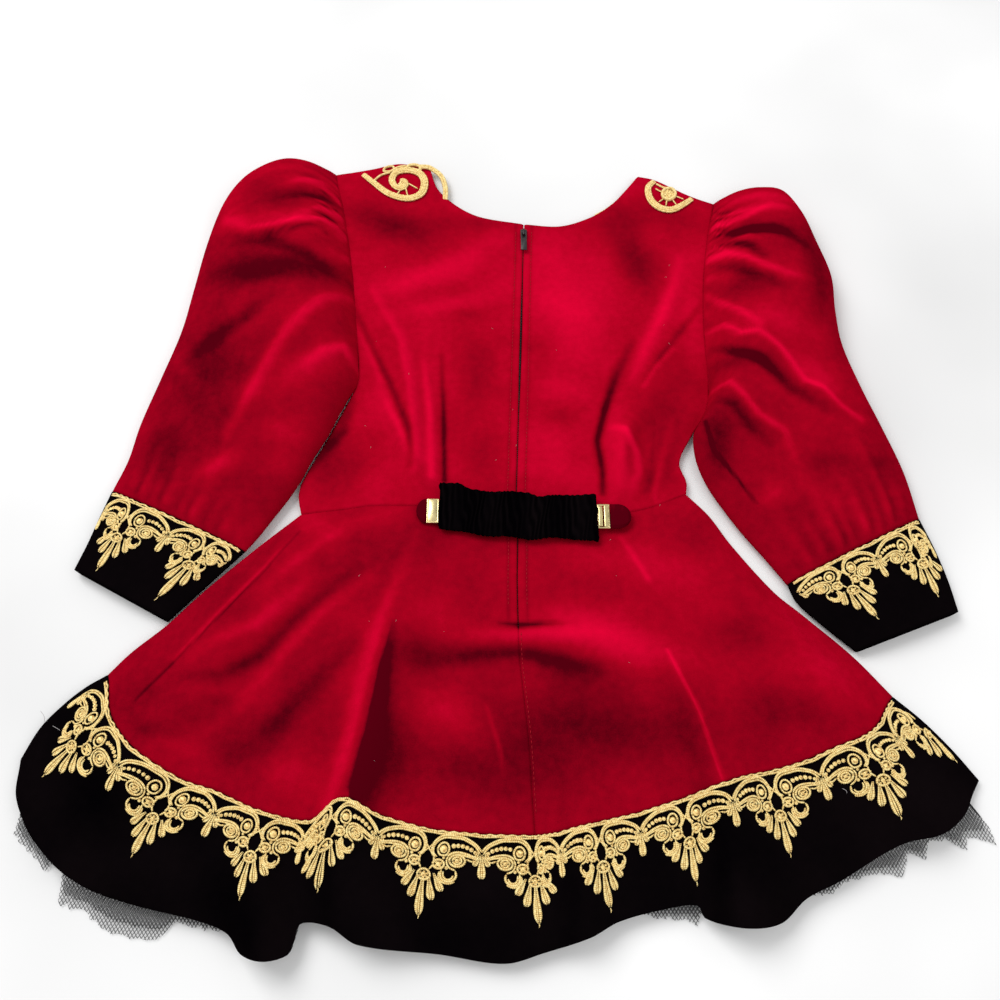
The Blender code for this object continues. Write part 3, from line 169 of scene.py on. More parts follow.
# Seams of the skirt, narrow grooves
SKIRT_SEAMS = [
    [(12, 290, 1.3, 1.3, -0.3), (14, 240, 1.3, 1.3, -0.3)],
    [(17, 206, 1.0, 1.0, -0.3), (22, 73, 1.0, 1.0, -0.3)],
    [(-143, 281, 1.4, 1.4, -0.5), (-163, 251, 1.4, 1.4, -0.7), (-192, 217, 1.4, 1.4, -0.7),
     (-216, 187, 1.4, 1.4, -0.7), (-241, 158, 1.4, 1.4, -0.5)],
    [(108, 200, 1.3, 1.3, -0.4), (114, 186, 1.3, 1.3, -0.6), (129, 150, 1.3, 1.3, -0.6),
     (140, 105, 1.3, 1.3, -0.6)],
]
BODICE_CREASES = [
    [(-123, 528, 4, 5, 0.3), (-104, 494, 4, 5, 1.0), (-80, 445, 5, 6, 2.2), (-71, 403, 5, 6, 2.6),
     (-62, 340, 4, 5, 1.8)],
    [(-116, 476, 4, 4, -0.3), (-101, 437, 4, 4, -1.4), (-86, 404, 4, 4, -1.6), (-72, 364, 4, 4, -1.2),
     (-68, 337, 4, 4, -0.6)],
    [(-59, 424, 3, 4, 0.4), (-54, 378, 3, 4, 1.6), (-51, 325, 3, 4, 1.6)],
    [(-47, 431, 2.5, 3, -0.3), (-44, 380, 2.5, 3, -1.5), (-42, 322, 2.5, 3, -1.3)],
    [(-92, 396, 4, 4, 0.4), (-77, 364, 4, 5, 1.5), (-64, 330, 4, 4, 1.0)],
    [(-113, 387, 4, 4, -0.3), (-118, 364, 5, 5, -1.3), (-138, 334, 5, 5, -0.6)],
    [(148, 523, 5, 5, 0.4), (140, 493, 5, 6, 1.8), (129, 468, 5, 6, 2.2), (111, 430, 6, 6, 1.8),
     (98, 400, 5, 5, 0.6)],
    [(160, 476, 3, 3, -0.3), (145, 458, 3, 3, -1.2), (126, 433, 3, 3, -1.2), (112, 408, 3, 3, -0.3)],
    [(105, 446, 4, 4, -0.3), (89, 410, 4, 4, -1.7), (81, 383, 3, 3, -2.0), (74, 356, 3, 3, -1.4),
     (76, 330, 3, 3, -1.6), (75, 312, 3, 3, -0.9)],
    [(83, 366, 3, 4, 0.4), (93, 361, 3, 4, 1.6), (101, 345, 3, 4, 1.8), (102, 327, 3, 4, 1.2),
     (95, 314, 3, 4, 0.3)],
    [(135, 435, 3, 4, 0.4), (120, 418, 3, 4, 1.2), (112, 405, 3, 4, 1.0), (109, 396, 3, 4, 0.2)],
    [(130, 372, 4, 4, 0.3), (118, 332, 4, 5, 1.4), (111, 310, 4, 4, 0.4)],
    [(100, 410, 6, 6, 0.3), (92, 372, 7, 7, 1.6), (88, 336, 7, 7, 2.4), (86, 308, 6, 6, 1.6)],
    [(112, 336, 3, 3, -0.3), (108, 322, 3, 3, -1.6), (103, 306, 3, 3, -0.6)],
    [(-88, 503, 10, 12, 0.3), (-51, 516, 10, 12, 1.8), (-5, 552, 10, 12, 0.4)],
    [(24, 500, 14, 16, 0.3), (52, 490, 16, 18, 2.0), (86, 468, 14, 16, 0.4)],
    [(-18, 455, 8, 8, 0.2), (-16, 400, 8, 8, -0.9), (-15, 345, 8, 8, -0.3)],
    [(30, 380, 9, 9, 0.2), (46, 352, 10, 10, 1.2), (52, 330, 9, 9, 0.3)],
]
BODICE_SEAMS = [
    [(-121, 385, 1.3, 1.3, -0.5), (-121, 330, 1.3, 1.3, -0.6), (-126, 300, 1.3, 1.3, -0.5)],
    [(118, 372, 1.3, 1.3, -0.4), (113, 330, 1.3, 1.3, -0.5), (112, 304, 1.3, 1.3, -0.4)],
]
LEFT_SLEEVE_CREASES = [
    [(-139, 588, 5, 6, 0.6), (-150, 595, 5, 6, 2.2), (-168, 590, 5, 6, 2.2), (-182, 582, 6, 6, 0.4)],
    [(-137, 571, 4, 5, 0.6), (-149, 583, 4, 5, 1.8), (-165, 592, 5, 5, 0.4)],
    [(-136, 573, 3, 4, -0.4), (-147, 577, 3, 4, -1.8), (-162, 575, 4, 5, -1.0), (-180, 568, 5, 6, -0.2)],
    [(-134, 563, 4, 4, 0.6), (-148, 563, 4, 5, 2.2), (-165, 551, 5, 6, 0.6)],
    [(-131, 546, 3, 5, 0.6), (-146, 549, 3, 6, 2.4), (-165, 542, 4, 7, 2.8), (-181, 534, 5, 8, 2.6),
     (-201, 530, 6, 9, 2.2), (-222, 545, 7, 9, 1.0), (-240, 560, 7, 9, 0.3)],
    [(-131, 494, 6, 7, -0.4), (-152, 511, 6, 7, -2.0), (-185, 520, 7, 8, -2.2), (-208, 521, 7, 8, -0.5)],
    [(-124, 494, 5, 6, -0.4), (-158, 484, 6, 7, -1.6), (-198, 482, 7, 8, -1.8), (-217, 449, 8, 9, -0.6)],
    [(-120, 477, 5, 6, 0.5), (-138, 467, 6, 8, 2.4), (-160, 438, 7, 9, 3.0), (-173, 414, 7, 8, 3.2),
     (-187, 381, 6, 8, 2.8), (-200, 350, 6, 7, 0.8)],
    [(-170, 470, 7, 8, -0.4), (-193, 451, 8, 9, -2.2), (-219, 433, 8, 9, -2.0), (-237, 416, 8, 9, -0.4)],
    [(-109, 413, 4, 4, 0.6), (-119, 428, 5, 5, 2.2), (-134, 420, 5, 6, 2.4), (-146, 408, 5, 6, 1.0)],
    [(-252, 420, 6, 8, 0.5), (-238, 398, 7, 8, 2.0), (-222, 376, 7, 8, 0.6)],
    [(-184, 345, 5, 6, 0.5), (-203, 325, 6, 7, 2.0), (-226, 309, 6, 7, 0.5)],
    [(-226, 371, 6, 7, -0.4), (-247, 346, 6, 7, -1.8), (-256, 325, 6, 7, -0.5)],
]
RIGHT_SLEEVE_CREASES = [
    [(176, 550, 5, 4, 0.6), (193, 553, 6, 4, 2.4), (223, 561, 7, 6, 2.4), (240, 557, 7, 6, 0.6)],
    [(174, 535, 4, 4, -0.4), (192, 538, 5, 4, -2.0), (209, 537, 5, 5, -1.6), (229, 532, 6, 6, -0.4)],
    [(171, 526, 4, 3, 0.6), (186, 528, 5, 4, 2.0), (200, 531, 5, 5, 1.6), (210, 524, 5, 5, 0.3)],
    [(169, 519, 5, 3, 0.5), (182, 516, 6, 4, 2.4), (196, 506, 6, 4, 2.8), (207, 495, 7, 5, 2.6),
     (222, 485, 7, 6, 2.0), (241, 484, 7, 7, 0.6)],
    [(172, 498, 5, 5, -0.4), (189, 484, 7, 7, -1.8), (206, 472, 7, 7, -0.5)],
    [(166, 481, 4, 4, 0.5), (175, 468, 4, 4, 1.8), (187, 453, 5, 4, 2.2), (197, 440, 5, 4, 1.6),
     (212, 430, 5, 5, 0.4)],
    [(160, 448, 5, 4, 0.6), (173, 446, 5, 4, 2.2), (182, 434, 5, 4, 2.6), (195, 432, 5, 4, 2.6),
     (208, 420, 5, 4, 2.6), (215, 412, 5, 4, 2.6), (227, 393, 5, 4, 2.8), (240, 388, 5, 4, 2.6),
     (252, 375, 5, 4, 2.2), (266, 364, 5, 5, 1.8), (279, 359, 5, 5, 0.6)],
    [(165, 432, 4, 4, -0.4), (177, 420, 5, 4, -2.2), (197, 407, 6, 5, -2.4), (220, 385, 6, 5, -1.6),
     (240, 372, 6, 5, -0.4)],
    [(159, 392, 4, 4, 0.5), (171, 391, 5, 4, 2.0), (181, 379, 5, 4, 2.4), (190, 364, 5, 4, 2.2),
     (208, 351, 5, 5, 1.8), (214, 328, 5, 5, 0.5)],
    [(223, 424, 6, 6, 0.3), (235, 408, 7, 7, 1.6), (246, 396, 7, 7, 0.3)],
    [(246, 505, 8, 9, -0.4), (253, 471, 9, 9, -1.8), (256, 440, 9, 9, -0.4)],
    [(234, 345, 8, 8, -0.3), (240, 330, 8, 8, -1.6), (262, 326, 8, 8, -1.2), (284, 332, 7, 7, -0.3)],
    [(196, 316, 6, 6, 0.3), (197, 302, 6, 6, 1.6), (204, 284, 6, 6, 0.4)],
]

SKIRT_NAP_BASE = -0.12
BODICE_NAP_BASE = 0.04
SLEEVE_NAP_BASE = -0.10
# Painted highlight on the sleeves' gathers, by their height, and painted light and shade by the way that they
# lean
GATHER_HIGHLIGHT = 0.09       # brightness for each millimetre of a gather
GATHER_LEAN_SHADING = -0.28     # and for the way that it leans

# How bright the nap lies, with painted shade beside the folds and painted sheen, as patches of (x, y, radius
# across, radius along, tilt in degrees, amount)
SKIRT_NAP_AND_SHADING = [
    (-186, 138, 46, 20, 8, -0.16), (-191, 164, 44, 8, -15, 0.10), (-62, 150, 15, 50, 0, -0.10),
    (-36, 150, 34, 16, -38, 0.28), (-23, 118, 44, 17, 0, -0.20),
    (52, 139, 75, 28, -4, -0.30), (-14, 188, 60, 10, 0, -0.14), (82, 196, 42, 15, -22, 0.46),
    (34, 204, 36, 6, 0, 0.30), (-6, 204, 26, 5, 0, 0.16), (55, 214, 52, 12, 0, 0.10),
    (103, 255, 52, 20, -10, 0.22), (164, 205, 32, 13, -20, -0.12), (198, 181, 40, 18, -35, 0.20),
    (146, 222, 26, 14, 0, 0.15), (190, 152, 26, 14, 0, -0.14), (60, 178, 34, 12, 0, -0.16),
    (-135, 288, 22, 10, -30, 0.22), (-70, 262, 30, 24, 0, -0.06), (4, 255, 46, 14, 0, 0.08),
    (-48, 216, 26, 18, 0, 0.20), (-52, 190, 16, 22, 10, -0.20), (8, 100, 60, 16, 0, -0.10),
    (236, 142, 30, 16, -30, -0.10), (-236, 162, 26, 12, 40, -0.10), (-184, 158, 12, 6, 0, -0.14),
    (-227, 138, 12, 7, 0, -0.12), (-171, 122, 16, 7, 0, -0.16), (-205, 126, 26, 5, -8, 0.14),
    (-134, 109, 20, 10, -10, 0.16), (-140, 140, 26, 9, 50, -0.14), (170, 130, 20, 16, 0, -0.10),
]
# Painted highlights along the ridges of creases and painted shade in their troughs, seams and the slit's end,
# as rows of (x, y, width to its left, width to its right, amount)
SKIRT_CREASE_SHADING = [
    [(-59, 277, 5, 6, 0.05), (-80, 215, 7, 5, 0.30), (-91, 167, 8, 5, 0.42), (-98, 122, 8, 5, 0.42),
     (-107, 90, 8, 5, 0.30)],
    [(-73, 205, 1, 4, -0.20), (-78, 178, 2, 8, -0.60), (-84, 138, 2, 14, -0.72), (-92, 100, 3, 20, -0.60)],
    [(-97, 198, 7, 5, -0.10), (-120, 172, 8, 8, -0.26), (-140, 150, 8, 8, -0.24), (-158, 131, 8, 8, -0.10)],
    [(-72, 299, 6, 6, 0.10), (-109, 286, 6, 6, 0.20), (-140, 259, 6, 6, 0.20), (-168, 233, 6, 6, 0.05)],
    [(-130, 246, 6, 5, 0.10), (-165, 209, 6, 5, 0.30), (-189, 199, 6, 5, 0.26), (-209, 186, 6, 5, 0.08)],
    [(-89, 246, 6, 5, 0.10), (-120, 221, 7, 5, 0.24), (-141, 196, 7, 5, 0.28), (-159, 170, 7, 5, 0.24),
     (-173, 151, 7, 5, 0.16), (-201, 130, 7, 5, 0.08)],
    [(-99, 252, 5, 6, -0.08), (-136, 220, 5, 6, -0.26), (-163, 188, 5, 6, -0.32), (-186, 174, 5, 6, -0.26),
     (-214, 172, 5, 6, -0.08)],
    [(-141, 283, 1.6, 2.2, 0.05), (-165, 251, 1.6, 2.2, 0.30), (-194, 217, 1.6, 2.2, 0.30),
     (-218, 186, 1.6, 2.2, 0.22)],
    [(-143, 281, 1.1, 1.1, -0.20), (-163, 251, 1.1, 1.1, -0.35), (-216, 187, 1.1, 1.1, -0.30),
     (-241, 158, 1.1, 1.1, -0.20)],
    [(112, 190, 1.4, 1.4, 0.35), (129, 150, 1.4, 1.4, 0.45), (140, 105, 1.4, 1.4, 0.35)],
    [(-9, 154, 1.6, 1.6, 0.1), (0, 126, 1.6, 1.6, 0.25), (2, 110, 1.6, 1.6, 0.05)],
    [(86, 275, 2, 3, 0.15), (102, 243, 2, 3, 0.3)],
    [(-40, 186, 5, 5, -0.10), (-13, 190, 5, 5, -0.26), (12, 192, 5, 5, -0.30), (40, 185, 6, 6, -0.26),
     (62, 180, 6, 6, -0.08)],
    [(0, 211, 1.8, 1.8, -0.2), (14, 210, 2.0, 2.0, -0.75), (34, 211, 2.4, 2.4, -0.35),
     (52, 211, 2, 2, -0.05)],
]
# Painted sheen on the band's right end and painted shade at its left
BAND_SHEEN_AND_SHADING = [(250, 90, 50, 40, 0, 0.3), (-240, 70, 60, 30, 0, -0.1)]
BODICE_NAP_AND_SHADING = [
    (-62, 507, 44, 12, 20, 0.30), (-20, 534, 26, 10, 40, 0.14), (-40, 480, 36, 9, 12, 0.24),
    (-25, 470, 12, 7, 0, -0.16), (-21, 562, 60, 12, 0, -0.20), (-92, 560, 44, 18, -24, -0.42),
    (52, 486, 34, 52, 20, 0.30), (-19, 422, 15, 30, 0, -0.20), (-15, 345, 18, 24, 0, -0.16),
    (43, 355, 26, 18, 0, 0.14), (-130, 350, 12, 40, 0, -0.30), (111, 520, 15, 34, 20, -0.36),
    (104, 566, 26, 22, 20, -0.26), (60, 548, 40, 10, -6, 0.06), (-86, 398, 10, 40, 8, 0.08),
    (128, 372, 14, 26, 0, -0.22), (153, 462, 9, 40, 0, 0.14), (-112, 330, 12, 20, 0, -0.18),
    (120, 338, 10, 24, 0, -0.26), (148, 566, 24, 16, -30, -0.14), (-98, 600, 30, 14, 0, -0.12),
    (90, 338, 9, 26, 0, 0.20), (140, 404, 12, 18, 0, -0.10), (110, 320, 4, 13, -10, -0.34),
    (30, 442, 18, 10, 0, -0.12), (48, 400, 22, 10, -12, 0.14), (36, 330, 26, 9, -6, 0.14),
    (46, 376, 14, 7, 0, -0.12),
]
# Painted highlights along the bodice's crease ridges and painted shade in their troughs and seams
BODICE_CREASE_SHADING = [
    [(-112, 456, 3, 4, 0.10), (-101, 433, 3, 4, 0.30), (-91, 406, 3, 4, 0.16)],
    [(-104, 494, 3, 5, 0.10), (-78, 445, 3, 5, 0.30), (-69, 403, 3, 5, 0.36), (-60, 340, 3, 5, 0.20)],
    [(-116, 474, 3, 3, -0.15), (-99, 434, 3, 3, -0.40), (-84, 403, 3, 3, -0.44), (-69, 364, 3, 3, -0.40),
     (-65, 334, 3, 3, -0.25)],
    [(-59, 424, 3, 3, 0.15), (-53, 378, 3, 3, 0.40), (-50, 325, 3, 3, 0.45)],
    [(-46, 431, 2, 2.5, -0.15), (-43, 380, 2, 2.5, -0.50), (-41, 322, 2, 2.5, -0.60)],
    [(-92, 398, 3, 3, 0.10), (-76, 366, 3, 3, 0.30), (-62, 330, 3, 3, 0.15)],
    [(-113, 389, 4, 4, -0.15), (-118, 364, 5, 5, -0.35), (-140, 334, 5, 5, -0.20)],
    [(148, 523, 6, 6, 0.15), (140, 493, 6, 6, 0.30), (129, 468, 6, 6, 0.40), (111, 430, 5, 5, 0.30),
     (100, 404, 4, 4, 0.1)],
    [(160, 476, 3, 3, -0.15), (145, 456, 3, 3, -0.35), (126, 430, 3, 3, -0.35), (112, 408, 3, 3, -0.10)],
    [(105, 446, 3, 3, -0.15), (89, 410, 4, 4, -0.45), (80, 383, 3, 3, -0.70), (73, 356, 3, 3, -0.60),
     (76, 330, 2.5, 2.5, -0.55), (75, 312, 2.5, 2.5, -0.45)],
    [(83, 366, 3, 3, 0.20), (94, 360, 3, 3, 0.40), (102, 344, 3, 3, 0.40), (103, 327, 3, 3, 0.30),
     (95, 314, 3, 3, 0.10)],
    [(135, 435, 2, 2, 0.15), (120, 418, 2, 2, 0.30), (110, 400, 2, 2, 0.20)],
    [(130, 372, 3, 3, 0.10), (118, 332, 3, 4, 0.26), (111, 310, 3, 3, 0.15)],
]
SLEEVE_NAP_AND_SHADING = [
    (-176, 572, 30, 14, 0, -0.16), (-204, 606, 40, 12, 0, 0.12), (-158, 497, 46, 13, 0, -0.34),
    (-205, 490, 30, 15, 0, -0.24), (-176, 458, 22, 12, 0, 0.12), (-142, 411, 36, 12, 35, 0.28),
    (-219, 411, 20, 25, 0, -0.30), (-207, 365, 20, 12, 0, -0.16), (-203, 325, 18, 8, 30, 0.30),
    (-156, 355, 18, 16, 0, 0.24), (-244, 342, 16, 22, 0, -0.22), (-188, 545, 50, 9, 6, 0.22),
    (-222, 566, 18, 20, 0, 0.10), (-160, 330, 14, 10, 0, 0.14),
    (221, 576, 34, 9, -8, 0.26), (250, 490, 12, 40, 0, -0.24), (192, 482, 16, 11, 0, -0.22),
    (214, 446, 20, 10, -30, 0.16), (179, 412, 15, 8, 0, -0.26), (262, 420, 18, 20, 0, -0.12),
    (235, 404, 20, 8, -35, 0.24), (236, 330, 16, 8, 0, -0.16), (280, 330, 12, 10, 0, -0.14),
    (225, 420, 60, 70, 0, 0.18), (225, 320, 50, 30, 0, 0.08),
    (214, 540, 26, 8, 0, -0.16), (197, 303, 14, 10, 0, 0.22), (235, 300, 18, 8, -30, 0.12),
    (160, 345, 10, 22, 0, -0.28),
]
# Painted highlights along the sleeves' gathers and creases and painted shade between them
SLEEVE_CREASE_SHADING = [
    [(181, 569, 1.0, 1.0, -0.30), (185, 566, 1.2, 1.2, -0.30), (191, 564, 1.5, 1.5, -0.10)],
    [(180, 562, 0.9, 1.1, 0.30), (188, 561, 1.2, 1.4, 0.30), (198, 561, 1.6, 2.0, 0.25),
     (207, 561, 2, 3, 0.05)],
    [(180, 559, 1.0, 1.0, -0.40), (187, 557, 1.2, 1.2, -0.36), (197, 557, 1.6, 1.6, -0.20)],
    [(179, 553, 0.9, 1.2, 0.40), (186, 549, 1.2, 1.5, 0.40), (196, 550, 1.6, 2.0, 0.36),
     (205, 554, 2, 3, 0.30), (214, 559, 3, 4, 0.20), (230, 559, 3, 4, 0.05)],
    [(178, 548, 1.0, 1.0, -0.40), (184, 545, 1.0, 1.0, -0.30), (192, 546, 1.5, 1.5, -0.10)],
    [(177, 545, 1.0, 1.0, 0.40), (182, 542, 1.2, 1.2, 0.20)],
    [(177, 542, 1.2, 1.4, -0.45), (189, 540, 2.0, 2.4, -0.55), (204, 539, 3.0, 4.0, -0.60),
     (218, 536, 4, 5, -0.52), (231, 529, 5, 6, -0.36), (243, 520, 5, 6, -0.15)],
    [(175, 530, 1.5, 1.5, -0.40), (189, 526, 3.0, 3.0, -0.55), (199, 520, 3.5, 4.0, -0.50),
     (208, 508, 4, 5, -0.30)],
    [(175, 531, 0.9, 1.2, 0.35), (182, 522, 1.2, 1.6, 0.15)],
    [(-138, 581, 1.0, 1.0, -0.30), (-144, 583, 1.2, 1.2, -0.40), (-154, 584, 1.5, 1.5, -0.20)],
    [(-137, 569, 1.0, 1.0, 0.35), (-143, 571, 1.2, 1.2, 0.35), (-152, 572, 1.6, 1.6, 0.15)],
    [(-136, 566, 1.2, 1.2, -0.50), (-143, 567, 1.6, 1.6, -0.50), (-153, 567, 2.0, 2.0, -0.20)],
    [(-134, 554, 1.2, 1.2, -0.50), (-141, 556, 1.8, 1.8, -0.55), (-152, 557, 2.4, 2.4, -0.20)],
    [(-133, 550, 1.0, 1.0, 0.45), (-140, 553, 1.2, 1.2, 0.45), (-150, 551, 1.8, 1.8, 0.20)],
    [(-131, 536, 1.2, 1.2, -0.35), (-138, 538, 1.5, 1.5, -0.40), (-148, 534, 2.0, 2.0, -0.15)],
    [(-139, 588, 4, 4, 0.15), (-150, 595, 4, 4, 0.30), (-168, 590, 4, 4, 0.28), (-182, 582, 4, 4, 0.08)],
    [(-136, 573, 3, 3, -0.20), (-147, 577, 3, 3, -0.45), (-162, 575, 4, 4, -0.30), (-180, 568, 5, 5, -0.10)],
    [(-134, 563, 3, 3, 0.20), (-148, 563, 3, 4, 0.36), (-165, 551, 4, 5, 0.15)],
    [(-131, 547, 2, 3, 0.20), (-146, 550, 2, 4, 0.45), (-165, 544, 3, 5, 0.45), (-181, 536, 4, 5, 0.36),
     (-201, 532, 4, 5, 0.30), (-222, 547, 5, 6, 0.16)],
    [(-131, 541, 3, 3, -0.20), (-147, 543, 3, 3, -0.40), (-166, 535, 3, 3, -0.36), (-184, 527, 4, 4, -0.20)],
    [(-131, 494, 5, 6, -0.10), (-152, 511, 5, 6, -0.28), (-185, 520, 6, 7, -0.30), (-208, 521, 6, 7, -0.10)],
    [(-120, 478, 4, 4, 0.20), (-137, 468, 4, 5, 0.40), (-159, 439, 5, 6, 0.42), (-171, 415, 5, 6, 0.42),
     (-186, 381, 4, 6, 0.40), (-199, 351, 4, 5, 0.20)],
    [(-172, 468, 6, 6, -0.10), (-194, 450, 7, 7, -0.34), (-219, 432, 7, 7, -0.30), (-236, 416, 7, 7, -0.10)],
    [(-109, 413, 3, 3, 0.20), (-119, 428, 4, 4, 0.40), (-134, 420, 4, 5, 0.40), (-146, 408, 4, 5, 0.20)],
    [(176, 551, 3, 3, 0.15), (193, 554, 4, 4, 0.34), (223, 562, 5, 5, 0.30), (240, 557, 5, 5, 0.10)],
    [(174, 535, 3, 3, -0.20), (192, 538, 4, 4, -0.40), (209, 537, 4, 4, -0.34), (229, 532, 5, 5, -0.10)],
    [(171, 526, 3, 3, 0.15), (186, 528, 3, 3, 0.34), (200, 531, 4, 4, 0.30), (210, 524, 4, 4, 0.05)],
    [(169, 520, 3, 3, 0.15), (182, 518, 3, 3, 0.42), (196, 508, 3, 3, 0.46), (207, 497, 4, 4, 0.42),
     (222, 487, 4, 4, 0.30), (241, 485, 5, 5, 0.08)],
    [(172, 511, 4, 4, -0.10), (190, 498, 5, 5, -0.38), (205, 486, 5, 5, -0.30), (220, 474, 5, 5, -0.10)],
    [(166, 482, 3, 3, 0.20), (175, 469, 3, 3, 0.38), (187, 454, 3, 3, 0.40), (197, 441, 4, 4, 0.25)],
    [(160, 449, 3, 3, 0.20), (173, 448, 3, 3, 0.42), (183, 436, 3, 3, 0.45), (196, 434, 3, 3, 0.45),
     (209, 422, 3, 3, 0.45), (216, 413, 3, 3, 0.45), (228, 395, 3, 3, 0.45), (241, 390, 3, 3, 0.42),
     (253, 377, 3, 3, 0.38), (267, 366, 4, 4, 0.30)],
    [(165, 432, 3, 3, -0.15), (177, 422, 4, 4, -0.45), (197, 410, 5, 5, -0.50), (219, 387, 5, 5, -0.38),
     (240, 374, 5, 5, -0.20)],
    [(159, 393, 3, 3, 0.15), (171, 392, 3, 3, 0.40), (181, 380, 3, 3, 0.42), (190, 365, 3, 3, 0.40),
     (208, 352, 4, 4, 0.30), (214, 329, 4, 4, 0.10)],
    [(163, 380, 4, 4, -0.15), (173, 374, 4, 4, -0.30), (182, 358, 4, 4, -0.26), (196, 342, 4, 4, -0.15)],
    [(152, 365, 1.2, 1.2, -0.3), (156, 341, 1.2, 1.2, -0.4), (167, 324, 1.2, 1.2, -0.4),
     (183, 299, 1.2, 1.2, -0.3)],
]

# The sleeves and cuffs, from the armhole to the hand, each row of
# (outer x, outer y, inner x, inner y, crown height, edge height, bow of the row to the right)
LEFT_SLEEVE = [
    (-139.6, 614.5, -108.2, 410, 7.4, 3.5, 3.4), (-148, 620, -109.0, 407, 14, 3.8, 2.6),
    (-166, 628, -110.2, 403, 23, 4.4, 1.6), (-185, 629, -112.4, 398, 29, 5.0, 0.6),
    (-204, 619, -115.6, 391, 33, 5.6, 0), (-220, 602, -118.8, 383, 35, 6.0, 0),
    (-232, 575, -123, 373, 35, 6.2, 0), (-240, 535, -128.4, 359, 33, 6.2, 0),
    (-245, 492, -138, 340, 30, 6.0, 0), (-250, 450, -146, 321, 27, 6.0, 0),
    (-260, 408, -154, 306, 24, 6.0, 0), (-270, 368, -163, 292, 21, 5.6, 0),
    (-275, 338, -172, 278, 17, 5.2, 0), (-283, 313, -181, 266, 13, 5.0, 0),
]
LEFT_CUFF = [
    (-283.4, 312.6, -181.4, 265.6, 13, 5.0, 0), (-289, 292, -193, 253, 12.5, 5.0, 0),
    (-294, 272, -206.4, 238.6, 12, 5.0, 0), (-300, 252, -228.8, 214, 11.5, 5.0, 0),
]
RIGHT_SLEEVE = [
    (179.6, 582.5, 159.9, 404, 7.4, 3.5, -6.0), (187.5, 588, 160.4, 400.5, 14, 3.8, -1.8),
    (203, 595, 160.2, 396.5, 23, 4.4, 3), (220, 597, 158.6, 391, 29, 5.0, 7),
    (238, 592, 157.0, 384.5, 33, 5.6, 11), (251, 568, 154.4, 377, 35, 6.0, 11),
    (259, 538, 149.6, 368, 35, 6.2, 8), (267, 503, 144.6, 358, 33, 6.2, 4),
    (266, 470, 145, 338, 30, 6.0, 0), (267, 438, 151, 318, 27, 6.0, 0),
    (276, 400, 161, 299, 24, 6.0, 0), (287, 364, 173, 280, 21, 5.6, 0),
    (297, 328, 187, 261, 17, 5.2, 0), (302, 291, 201, 241, 13, 5.0, 0),
]
RIGHT_CUFF = [
    (302.3, 290.6, 201.3, 240.6, 13, 5.0, 0), (309, 268, 206.4, 227.4, 12.5, 5.0, 0),
    (314, 245, 222, 211, 12, 5.0, 0), (317, 221, 242, 192.6, 11.5, 5.0, 0),
]

